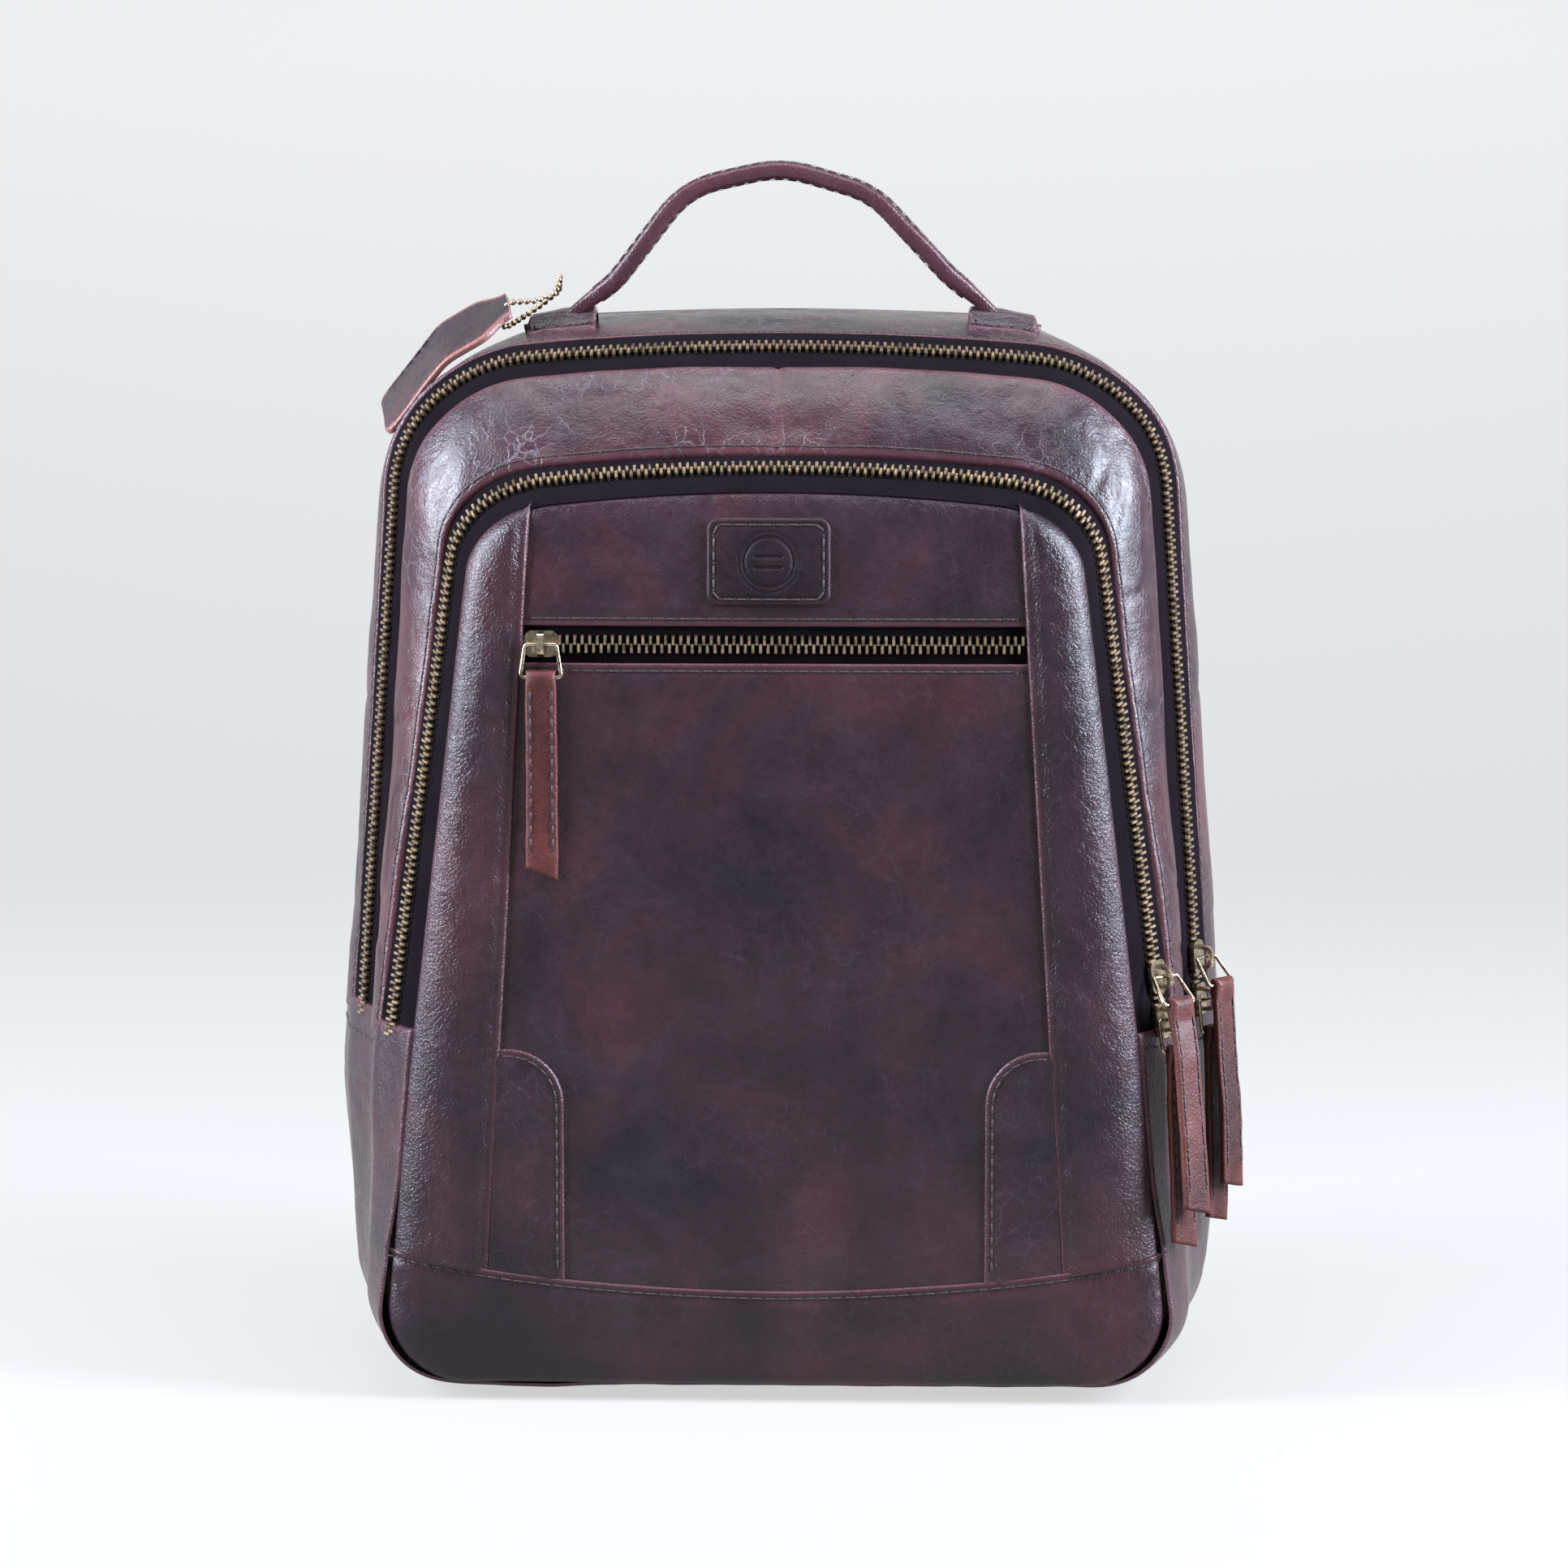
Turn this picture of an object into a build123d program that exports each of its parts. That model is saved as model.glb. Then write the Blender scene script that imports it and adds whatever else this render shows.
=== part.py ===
"""Leather backpack with two zipped compartments, a zipped front pocket, a carry handle and two shoulder straps.

Row frame: origin on the floor under the middle of the body, +Z up, +X to the wearer's left hand when the bag is
carried (right when the front is faced), -Y out of the front. All sizes are in millimetres.
Leather parts are plain closed solids of the right size and place; fine surface shape belongs to the looks.
"""

import math
import os
from dataclasses import dataclass, replace

from build123d import *

# ---------------------------------------------------------------- driving dimensions

FOLD_Z = 134.0  # height where both zips end and the two flaps fold
FOLD_Y = -63.5  # the flaps turn about this line, just in front of the front panel
PART_GAP = 0.4  # clearance each side of the fold
LEATHER = 3.0  # leather with its turned edge and backing
TAPE = 1.0  # zip tape
LINING = 1.0
RAIL_PROUD = 1.0  # how far the row of zip teeth stands out of the tape
RAIL_DEEP = 2.0
RAIL_WIDE = 3.1
RAIL_GAP = 0.5  # half the slit between the two rows of teeth

PARK_Z = 166.5  # below this, on the right, the chain stays closed inside the parked sliders
SLIDER_LOW_Z = 142.0
SLIDER_HIGH_Z = 158.0
SLIDER_LENGTH = 12.0
SLIDER_WIDE = 9.6
WING = 1.2
WING_CLEAR = 0.45

SEAM_TOP_X = 88.0  # seam between the side strips and the middle panels, at the top and the bottom
SEAM_LOW_X = 105.5
SEAM_TOP_Z = 336.0
SEAM_LOW_Z = 45.0
SEAM_GAP = 0.15
BASE_SEAM_X = -2.0  # seam under the middle of the base

BAND_SIDE_Z = 62.0  # top edge of the bottom band at its ends and in the middle
BAND_MID_Z = 43.0
POCKET_ZIP_Z = 282.0
POCKET_LIP = 7.5  # half height of the window that shows the pocket zip
POCKET_ZIP_HALF = 90.0

HANDLE_Y = 30.0
HANDLE_AXIS_Z = 401.8
HANDLE_WIDE = 20.0
HANDLE_THICK = 6.6

STRAP_TOP = Vector(42, 80.6, 366)  # right-hand strap; the left one is its mirror
STRAP_LOW = Vector(132, 80.5, 30)
STRAP_WIDE = 56.0
STRAP_THICK = 9.0
WEB_WIDE = 26.0
WEB_THICK = 2.4

BIG = 900.0


# ---------------------------------------------------------------- cross-sections of the bag

@dataclass(frozen=True)
class Outline:
    """The bag's outline at one depth: a six-cornered shape, wide at the belly, with round corners."""

    y: float
    low: float  # half width at the bottom corner
    belly: float
    belly_z: float
    top: float  # half width at the top corner
    bottom_z: float
    top_z: float
    low_r: float
    top_r: float

    def inset(self, t):
        return replace(
            self,
            low=self.low - t,
            belly=self.belly - t,
            top=self.top - t,
            bottom_z=self.bottom_z + t,
            top_z=self.top_z - t,
            low_r=self.low_r - t,
            top_r=self.top_r - t,
        )

    def half_width(self, z):
        """Half width on the straight side above the belly."""
        return self.belly + (self.top - self.belly) * (z - self.belly_z) / (self.top_z - self.belly_z)

    def face(self):
        corners = [
            (self.low, self.bottom_z),
            (self.belly, self.belly_z),
            (self.top, self.top_z),
            (-self.top, self.top_z),
            (-self.belly, self.belly_z),
            (-self.low, self.bottom_z),
        ]
        radii = [self.low_r, BELLY_R, self.top_r, self.top_r, BELLY_R, self.low_r]
        wire = FilletPolyline(*corners, radius=radii, close=True)
        return Plane.XZ.offset(-self.y) * make_face(wire)


BELLY_R = 120.0
BASE_CUT = -0.4  # the outlines dip this far below the floor, and the base is pressed flat at z = 0
BACK = Outline(70, 152, 158, 110, 138, BASE_CUT, 396, 44, 72)
BELLY = Outline(30, 160, 169, 110, 147, BASE_CUT, 394, 46, 74)
REAR_EDGE = Outline(7, 160, 164.5, 110, 144.5, BASE_CUT, 390, 44, 60)
MID_RIM = Outline(-18, 154, 153, 110, 134, BASE_CUT, 379, 38, 48)
MID_EDGE = Outline(-40, 150, 150, 120, 117, 3, 347, 34, 36)
FRONT_EDGE = Outline(-60, 146, 134, 130, 109, 6, 336, 28, 30)


def between(a, b, y):
    """The outline at depth y on the straight way from outline a to outline b."""
    t = (y - a.y) / (b.y - a.y)
    mix = {k: getattr(a, k) + t * (getattr(b, k) - getattr(a, k)) for k in a.__dataclass_fields__}
    return Outline(**mix)


def band(stations, outer, inner):
    """A closed band round the bag through the stations, between two insets."""
    solid = None
    for a, b in zip(stations, stations[1:]):
        full = loft([a.inset(outer).face(), b.inset(outer).face()], ruled=True)
        hole = loft([a.inset(inner).face(), b.inset(inner).face()], ruled=True)
        piece = full - hole
        solid = piece if solid is None else solid + piece
    return solid


def plate(outline, y_front, y_back):
    """A flat plate with this outline between two depths."""
    face = replace(outline, y=y_back).face()
    return extrude(face, y_back - y_front, dir=(0, -1, 0))


def slab(x0, x1, y0, y1, z0, z1):
    size = (x1 - x0, y1 - y0, z1 - z0)
    return Pos((x0 + x1) / 2, (y0 + y1) / 2, (z0 + z1) / 2) * Box(*size)


ABOVE = slab(-BIG, BIG, -BIG, BIG, FOLD_Z + PART_GAP, BIG)
BELOW = slab(-BIG, BIG, -BIG, BIG, -BIG, FOLD_Z - PART_GAP)
PARKED = slab(0, BIG, -BIG, BIG, FOLD_Z + PART_GAP, PARK_Z)
RUNNING = ABOVE - slab(0, BIG, -BIG, BIG, 0, PARK_Z + PART_GAP)


# ---------------------------------------------------------------- body, gussets and walls

def back_pieces():
    outer = BACK.inset(0.5)
    stiff = BACK.inset(7)
    return {
        "back_panel": plate(outer, 70.2, 73.2),
        "back_foam": plate(stiff, 62.0, 70.0),
        "base_board": slab(-106, 106, -20, 58, LEATHER + LINING + 0.6, LEATHER + LINING + 3.1),
        "laptop_divider": plate(BACK.inset(9), 44.0, 49.0) & slab(-BIG, BIG, -BIG, BIG, 12, 292),
    }


def lower_gusset_halves(stations):
    """The gusset below the fold, in two halves that meet in the seam under the base."""
    whole = band(stations, 0, LEATHER)
    left = slab(-BIG, BASE_SEAM_X - SEAM_GAP, -BIG, BIG, 0, FOLD_Z - PART_GAP)
    right = slab(BASE_SEAM_X + SEAM_GAP, BIG, -BIG, BIG, 0, FOLD_Z - PART_GAP)
    return whole & left, whole & right


def gusset_pieces():
    low_stations = [BACK, BELLY, REAR_EDGE, MID_RIM, MID_EDGE, FRONT_EDGE]
    lining_stations = [between(BELLY, BACK, 61.5), BELLY, REAR_EDGE, between(REAR_EDGE, MID_RIM, 1)]
    lower_left, lower_right = lower_gusset_halves(low_stations)
    return {
        "rear_gusset": band([BACK, BELLY, REAR_EDGE], 0, LEATHER) & ABOVE,
        "lower_gusset_left": lower_left,
        "lower_gusset_right": lower_right,
        "main_lining": band(lining_stations, LEATHER + 0.1, LEATHER + 0.1 + LINING),
        "mid_panel": band([MID_RIM, MID_EDGE], 0, LEATHER) & ABOVE,
        "divider_wall": plate(MID_EDGE.inset(LEATHER + 0.2), -40.0, -37.5) & ABOVE,
        "divider_skirt": plate(MID_EDGE.inset(LEATHER + 0.2), -40.0, -37.5) & BELOW,
    }


# ---------------------------------------------------------------- the two long zips

class LongZip:
    """A zip that runs round the bag from one side of the fold to the other, between two outlines."""

    def __init__(self, rear, front, zip_y):
        self.rear, self.front, self.y = rear, front, zip_y
        widening = rear.half_width(SLIDER_HIGH_Z) - front.half_width(SLIDER_HIGH_Z)
        self.slope = math.atan2(widening, rear.y - front.y)

    def at(self, y):
        return between(self.rear, self.front, y)

    def tape(self, side):
        edge = self.y + side * (RAIL_GAP + RAIL_WIDE)
        far = self.rear if side > 0 else self.front
        stations = [far, self.at(edge)] if side > 0 else [self.at(edge), far]
        return band(stations, 0.2, 0.2 + TAPE)

    def teeth(self, side):
        near = self.y + side * RAIL_GAP
        far = self.y + side * (RAIL_GAP + RAIL_WIDE)
        stations = [self.at(max(near, far)), self.at(min(near, far))]
        return band(stations, -RAIL_PROUD, RAIL_DEEP)

    def point(self, z):
        return Vector(self.at(self.y).half_width(z), self.y, z)

    def frame(self, z):
        """The slider's plane on the right-hand leg: x along the travel, y to the front, z out of the tape."""
        centre = self.at(self.y)
        lean = (centre.top - centre.belly) / (centre.top_z - centre.belly_z)
        travel = Vector(lean, 0, 1).normalized()
        across = Vector(-math.sin(self.slope), -math.cos(self.slope), 0)
        out = travel.cross(across)
        out = out if out.X > 0 else out * -1
        return Plane(origin=self.point(z), x_dir=travel, z_dir=out)


MAIN_ZIP = LongZip(REAR_EDGE, MID_RIM, -5.5)
FRONT_ZIP = LongZip(MID_EDGE, FRONT_EDGE, -48.4)


def long_zip_pieces(name, zipper):
    """Tapes and teeth: the rear half stays, the front half leaves with the flap above the parked sliders."""
    rear_tape, front_tape = zipper.tape(+1), zipper.tape(-1)
    rear_teeth, front_teeth = zipper.teeth(+1), zipper.teeth(-1)
    return {
        f"{name}_tape_rear": Compound([rear_tape & ABOVE, front_tape & PARKED]),
        f"{name}_teeth_rear": Compound([rear_teeth & ABOVE, front_teeth & PARKED]),
        f"{name}_tape_front": front_tape & RUNNING,
        f"{name}_teeth_front": front_teeth & RUNNING,
    }


# ---------------------------------------------------------------- front panel pieces

def seam_x(z):
    return SEAM_TOP_X + (SEAM_LOW_X - SEAM_TOP_X) * (SEAM_TOP_Z - z) / (SEAM_TOP_Z - SEAM_LOW_Z)


def middle_region(gap):
    """Everything between the two slanting seams."""
    top, low = BIG / 2, -BIG / 2
    shape = Polygon(
        (-seam_x(low) + gap, low),
        (seam_x(low) - gap, low),
        (seam_x(top) - gap, top),
        (-seam_x(top) + gap, top),
        align=None,
    )
    return extrude(Plane.XZ.offset(BIG / 2) * shape, BIG, dir=(0, 1, 0))


def under_band_line(lift):
    """Everything below the bottom band's curved top edge."""
    edge = ThreePointArc(
        (-FRONT_EDGE.low - 20, BAND_SIDE_Z + lift),
        (0, BAND_MID_Z + lift),
        (FRONT_EDGE.low + 20, BAND_SIDE_Z + lift),
    )
    rest = Polyline(edge @ 1, (FRONT_EDGE.low + 20, -BIG / 2), (-FRONT_EDGE.low - 20, -BIG / 2), edge @ 0)
    return extrude(Plane.XZ.offset(BIG / 2) * make_face([edge, rest]), BIG, dir=(0, 1, 0))


def front_pieces():
    whole = plate(FRONT_EDGE.inset(0.3), FOLD_Y + 0.3, -60.2)
    wide, narrow = middle_region(-SEAM_GAP), middle_region(SEAM_GAP)
    strips = (whole - wide) & ABOVE
    skirts = (whole - wide - under_band_line(SEAM_GAP)) & BELOW
    middle = whole & narrow
    left, right = slab(-BIG, 0, -BIG, BIG, -BIG, BIG), slab(0, BIG, -BIG, BIG, -BIG, BIG)
    over_zip = slab(-BIG, BIG, -BIG, BIG, POCKET_ZIP_Z + POCKET_LIP, BIG)
    under_zip = slab(-BIG, BIG, -BIG, BIG, -BIG, POCKET_ZIP_Z - POCKET_LIP)
    return {
        "side_strip_left": strips & left,
        "side_strip_right": strips & right,
        "upper_panel": middle & over_zip,
        "pocket_panel": middle & under_zip & ABOVE,
        "strip_skirts": skirts,
        "pocket_skirt": (middle - under_band_line(SEAM_GAP)) & BELOW,
        "bottom_band": whole & under_band_line(-SEAM_GAP),
    }


def corner_patches():
    """Two reinforcing patches with a round upper corner, sewn over the lower corners of the middle panel."""
    top, inner_x, corner_r, thick = 133.0, 77.0, 20.0, 1.4
    outer_x = seam_x(top) - 1.0
    wire = FilletPolyline(
        (outer_x, 52), (outer_x, top), (inner_x, top), (inner_x, 49), radius=[0.5, corner_r], close=False
    )
    shape = make_face([wire, Line(wire @ 1, wire @ 0)])
    one = extrude(Plane.XZ.offset(-(FOLD_Y + 0.2)) * shape, thick, dir=(0, -1, 0))
    return Compound([one, mirror(one, about=Plane.YZ)])


def badge():
    """Blank badge patch with a pressed ring, sewn on the upper panel."""
    width, height, z, thick = 45.0, 32.0, 312.0, 1.6
    base = extrude(RectangleRounded(width, height, 6), thick)
    base -= Pos(0, 0, thick) * extrude(Circle(10.5) - Circle(9.7), -0.4)
    base -= Pos(0, 0, thick) * extrude(RegularPolygon(5.5, 6) - RegularPolygon(4.6, 6), -0.4)
    return Plane(origin=(-2, FOLD_Y + 0.2, z), x_dir=(1, 0, 0), z_dir=(0, -1, 0)) * base


def pocket_pieces():
    half, mid_y = POCKET_ZIP_HALF, -61.4
    upper = slab(-half, half, mid_y - 0.6, mid_y + 0.4, POCKET_ZIP_Z + RAIL_GAP + RAIL_WIDE, POCKET_ZIP_Z + 7.3)
    lower = slab(-half, half, mid_y - 0.6, mid_y + 0.4, POCKET_ZIP_Z - 7.3, POCKET_ZIP_Z - RAIL_GAP - RAIL_WIDE)
    row = slab(-half, half, mid_y - 1.4, mid_y + 1.2, RAIL_GAP, RAIL_GAP + RAIL_WIDE)
    row_up = Pos(0, 0, POCKET_ZIP_Z) * row
    row_low = Pos(0, 0, POCKET_ZIP_Z) * mirror(row, about=Plane.XY)
    bag = plate(FRONT_EDGE.inset(14), -58.4, -57.0) & slab(-BIG, BIG, -BIG, BIG, 150, 300)
    return {
        "pocket_tape": Compound([upper, lower]),
        "pocket_teeth": Compound([row_up, row_low]),
        "pocket_bag": bag,
    }


# ---------------------------------------------------------------- sliders and pulls

BRIDGE_RISE = 2.6  # height of the ring's wire above the slider's outer wing
RING_WIRE = 1.5
RING_WIDE = 15.0
RING_TALL = 12.0
TAB_WIDE = 12.0
TAB_THICK = 2.6
TAB_LOOP_R = 2.6


def slider(outer_height, inner_depth, lean=0.0, cross_bridge=False):
    """A zip slider in its own plane: x along the travel, y across the two rows of teeth, z out of the tape.

    lean turns the web between the rows to stay in the slit; a cross bridge has its opening along the travel.
    """
    wing = extrude(RectangleRounded(SLIDER_LENGTH, SLIDER_WIDE, 2.6), WING)
    outer_z = outer_height + WING_CLEAR
    inner_z = -inner_depth - WING_CLEAR
    web = Pos(4.2, 0, 0) * Rot(lean, 0, 0) * Box(2.4, 0.6, 20)
    web = web & slab(-BIG, BIG, -BIG, BIG, inner_z - 0.1, outer_z + 0.1)
    arch = Plane.XZ.offset(-1.2) * extrude(bridge_profile(), 2.4, dir=(0, 0, 1))
    arch = Rot(0, 0, 90) * arch if cross_bridge else arch
    wings = Pos(0, 0, outer_z) * wing + Pos(0, 0, inner_z - WING) * wing
    return wings + web + Pos(0, 0, outer_z + WING - 0.1) * arch


def bridge_profile():
    """Side view of the slider's bridge: an arch with an opening for the ring."""
    outside = FilletPolyline((-4.6, 0), (-4.2, 5.2), (3.4, 5.8), (4.8, 0), radius=[1.8, 2.2])
    inside = FilletPolyline((-3.2, 0), (-2.9, 3.9), (2.3, 4.3), (3.3, 0), radius=[1.0, 1.2])
    outer = make_face([outside, Line(outside @ 1, outside @ 0)])
    inner = make_face([inside, Line(inside @ 1, inside @ 0)])
    return outer - inner


def ring(wide, tall):
    """A wire ring in the plane's x (across) and y (down), hung from the middle of its top wire."""
    r = RING_WIRE / 2
    path = FilletPolyline(
        (-wide / 2 + 1.8, 0),
        (wide / 2 - 1.8, 0),
        (wide / 2, -tall),
        (-wide / 2, -tall),
        radius=[1.3] * 4,
        close=True,
    )
    start = Plane(origin=path @ 0, z_dir=path % 0)
    return sweep(start * Circle(r), path=path)


def tab(points, bends):
    """A folded leather tab: a loop round the ring's lower wire and a double strip that follows the points.

    The side view has x out from the bag and y up, with the ring's lower wire at the first point.
    """
    path = FilletPolyline(*points, radius=bends)
    side = trace(path, line_width=TAB_THICK)
    strip = extrude(side, TAB_WIDE / 2, both=True)
    loop = Pos(points[0][0], points[0][1]) * extrude(Circle(TAB_LOOP_R), TAB_WIDE / 2, both=True)
    bore = Pos(points[0][0], points[0][1]) * extrude(Circle(RING_WIRE / 2 + 0.15), TAB_WIDE, both=True)
    return strip + loop - bore


def hang(plane_origin, out, shape_2d_solid):
    """Puts a side-view solid at a hinge: its x goes along out, its y up and its extrusion across."""
    across = Vector(0, 0, 1).cross(out) * -1
    return Plane(origin=plane_origin, x_dir=out, z_dir=across) * shape_2d_solid


def pull(hinge, out, ring_lean, tab_points, tab_bends):
    """A ring and its tab. ring_lean is how far the ring's lower wire stands out from the hinge."""
    drop = math.sqrt(RING_TALL**2 - ring_lean**2)
    down = Vector(out.X * ring_lean, out.Y * ring_lean, -drop).normalized()
    across = Vector(0, 0, 1).cross(out)
    wire = Plane(origin=hinge, x_dir=across, z_dir=across.cross(down * -1)) * ring(RING_WIDE, RING_TALL)
    low = hinge + down * RING_TALL
    strip = hang(low, out, tab(tab_points, tab_bends))
    return wire, strip


def bridge_point(zipper, z):
    frame = zipper.frame(z)
    return frame.origin + frame.z_dir * (RAIL_PROUD + WING_CLEAR + WING + BRIDGE_RISE)


def facing(degrees):
    """A level direction turned this far from +X toward the front."""
    return Vector(math.cos(math.radians(degrees)), -math.sin(math.radians(degrees)), 0)


TOWARD_FRONT = facing(90)
FRONT_UPPER_HANG = [(0, 0), (4.5, -20), (8, -48), (10.5, -76)]
MAIN_UPPER_HANG = [(0, 0), (2.5, -22), (4.5, -44), (6, -76)]
PULLS = {
    "front_upper": (FRONT_ZIP, SLIDER_HIGH_Z, facing(50), 8.0, FRONT_UPPER_HANG, [30, 30]),
    "front_lower": (FRONT_ZIP, SLIDER_LOW_Z, facing(50), 4.5, [(0, 0), (1, -20), (3, -44), (4, -72)], [30, 30]),
    "main_upper": (MAIN_ZIP, SLIDER_HIGH_Z, facing(40), 7.5, MAIN_UPPER_HANG, [30, 30]),
    "main_lower": (MAIN_ZIP, SLIDER_LOW_Z, facing(40), 3.0, [(0, 0), (1, -20), (2, -44), (2, -72)], [30, 30]),
}


def side_pull_pieces():
    made = {}
    for name, (zipper, z, out, lean, points, bends) in PULLS.items():
        wire, strip = pull(bridge_point(zipper, z), out, lean, points, bends)
        made[f"{name}_slider"] = zipper.frame(z) * slider(RAIL_PROUD, RAIL_DEEP, math.degrees(zipper.slope))
        made[f"{name}_ring"] = wire
        made[f"{name}_tab"] = strip
    return made


POCKET_SLIDER_X = -84.5


def pocket_pull_pieces():
    teeth_front = -62.8
    frame = Plane(origin=(POCKET_SLIDER_X, teeth_front, POCKET_ZIP_Z), x_dir=(-1, 0, 0), z_dir=(0, -1, 0))
    hinge = Vector(POCKET_SLIDER_X, teeth_front - WING_CLEAR - WING - BRIDGE_RISE, POCKET_ZIP_Z)
    wire, strip = pull(hinge, TOWARD_FRONT, 0.0, [(0, 0), (-0.4, -24), (-0.8, -72)], [120])
    return {
        "pocket_slider": frame * slider(0, 2.6, cross_bridge=True),
        "pocket_ring": wire,
        "pocket_tab": strip,
    }


# ---------------------------------------------------------------- handle, straps and hang tag

def handle_pieces():
    """The rolled grip, and the two leather tabs that hold its ends on the top gusset."""
    rise = [
        (-88, HANDLE_AXIS_Z),
        (-62, 411),
        (-36, 444),
        (0, 452),
        (34, 442),
        (62, 414),
        (88, HANDLE_AXIS_Z),
    ]
    path = FilletPolyline(*rise, radius=[30, 34, 44, 34, 30])
    profile = Plane.XZ * trace(path, line_width=HANDLE_THICK)
    grip = extrude(profile, HANDLE_WIDE / 2, dir=(0, 1, 0), both=True)
    narrowing = extrude(handle_plan(), BIG / 2, both=True)
    seats = [between(BELLY, BACK, HANDLE_Y + 11), BELLY, between(REAR_EDGE, BELLY, HANDLE_Y - 11)]
    over_gusset = band(seats, -2.3, -0.3)
    right = over_gusset & slab(72, 94, -BIG, BIG, 300, BIG)
    return {
        "carry_handle": Pos(0, HANDLE_Y, 0) * (grip & narrowing),
        "handle_tabs": Compound([right, mirror(right, about=Plane.YZ)]),
    }


def handle_plan():
    """Plan view of the handle: full width over the hand, drawn in to a narrow roll at its ends."""
    narrow, wide = 4.0, HANDLE_WIDE / 2
    return Polygon(
        (-100, -narrow), (-78, -narrow), (-46, -wide), (46, -wide), (78, -narrow), (100, -narrow),
        (100, narrow), (78, narrow), (46, wide), (-46, wide), (-78, narrow), (-100, narrow),
        align=None,
    )


def strap_frame():
    """Side view of a strap: x runs from the upper anchor to the lower one, y away from the back."""
    along = (STRAP_LOW - STRAP_TOP).normalized()
    away = (Vector(0, 1, 0) - along * along.Y).normalized()
    return Plane(origin=STRAP_TOP, x_dir=along, z_dir=along.cross(away))


STRAP_SPAN = (STRAP_LOW - STRAP_TOP).length
HEAD_END = 29.6
PAD_START = 30.4
PAD_END = 222.0
ADJUST_AT = 268.0
STRAP_LINE = [(-18, 0.8), (8, 2.2), (52, 24), (120, 38), (196, 36), (PAD_END, 31)]


def strap_pieces(side):
    """One shoulder strap: sewn head, padded part, webbing and a sliding adjuster. side is +1 for +X."""
    frame = strap_frame()
    line = FilletPolyline(*STRAP_LINE, radius=[40, 60, 120, 120])
    padded = extrude(trace(line, line_width=STRAP_THICK), STRAP_WIDE / 2, both=True)
    padded = padded & (Rot(-90, 0, 0) * extrude(strap_plan(), BIG / 2, both=True))
    head = padded & slab(-BIG, HEAD_END, -BIG, BIG, -BIG, BIG)
    pad = padded & slab(PAD_START, BIG, -BIG, BIG, -BIG, BIG)
    web_line = Polyline((PAD_END - 8, 32), (STRAP_SPAN - 8.5, 1.2))
    web = extrude(trace(web_line, line_width=WEB_THICK), WEB_WIDE / 2, both=True)
    web = web & slab(PAD_END + 0.6, BIG, -BIG, BIG, -BIG, BIG)
    solids = [frame * s for s in (head, pad, web, adjuster_solid(web_line))]
    if side < 0:
        solids = [mirror(s, about=Plane.YZ) for s in solids]
    return solids


def strap_plan():
    """Outline of the padded strap laid flat, in x along its length."""
    return Polygon(
        (-18, -13), (24, -14), (52, -22), (90, -STRAP_WIDE / 2), (185, -25), (212, -17), (PAD_END, -15),
        (PAD_END, 15), (212, 17), (185, 25), (90, STRAP_WIDE / 2), (52, 22), (24, 14), (-18, 13),
        align=None,
    )


def adjuster_solid(web_line):
    """Three-bar slide: side bars beside the webbing, end bars under it and the middle bar over it."""
    start, end = web_line @ 0, web_line @ 1
    along = (end - start).normalized()
    t = ADJUST_AT - start.X
    here = start + along * (t / along.X)
    plane = Plane(origin=(here.X, here.Y, 0), x_dir=along, z_dir=(0, 0, 1))
    bar, length, clear = 2.4, 22.0, 0.4
    inside = WEB_WIDE / 2 + 0.6
    reach = WEB_THICK / 2 + clear
    sides = [Pos(0, 0, s * (inside + bar / 2)) * Box(length, 2 * (reach + bar), bar) for s in (-1, 1)]
    under = [Pos(s * (length - bar) / 2, -reach - bar / 2, 0) * Box(bar, bar, 2 * inside) for s in (-1, 1)]
    over = Pos(0, reach + bar / 2, 0) * Box(bar, bar, 2 * inside)
    return plane * Part(sides[0] + sides[1] + under[0] + under[1] + over)


def strap_anchors():
    """Lower anchors: a leather tab on the back panel and a rectangular ring, and the yoke across the top."""
    tab_solid = Pos(STRAP_LOW.X, 75.0, STRAP_LOW.Z - 8) * Box(30, 3.2, 26)
    tab_solid = fillet(tab_solid.edges().filter_by(Axis.Y), 6)
    loop = Plane(origin=(STRAP_LOW.X, 80.5, STRAP_LOW.Z - 2), x_dir=(1, 0, 0), z_dir=(0, 1, 0)) * (
        extrude(RectangleRounded(34, 12, 3) - RectangleRounded(29, 7.4, 2), 1.2, both=True)
    )
    keeper = Pos(STRAP_LOW.X, 79.0, STRAP_LOW.Z - 8) * (Box(22, 5.4, 12))
    keeper = keeper - loop
    keeper = keeper - tab_solid
    right = [tab_solid, loop, keeper]
    return right


def yoke():
    """Leather yoke that carries the upper ends of both straps, sewn across the top of the back panel."""
    base = Pos(0, 74.9, 368) * Box(150, 3.0, 44)
    base = fillet(base.edges().filter_by(Axis.Y), 14)
    return base


def chain_link(start, end, radius):
    """A straight run of bead chain with round ends."""
    along = end - start
    rod = Plane(origin=start, z_dir=along) * extrude(Circle(radius), along.length)
    return rod + Pos(start) * Sphere(radius)


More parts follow.
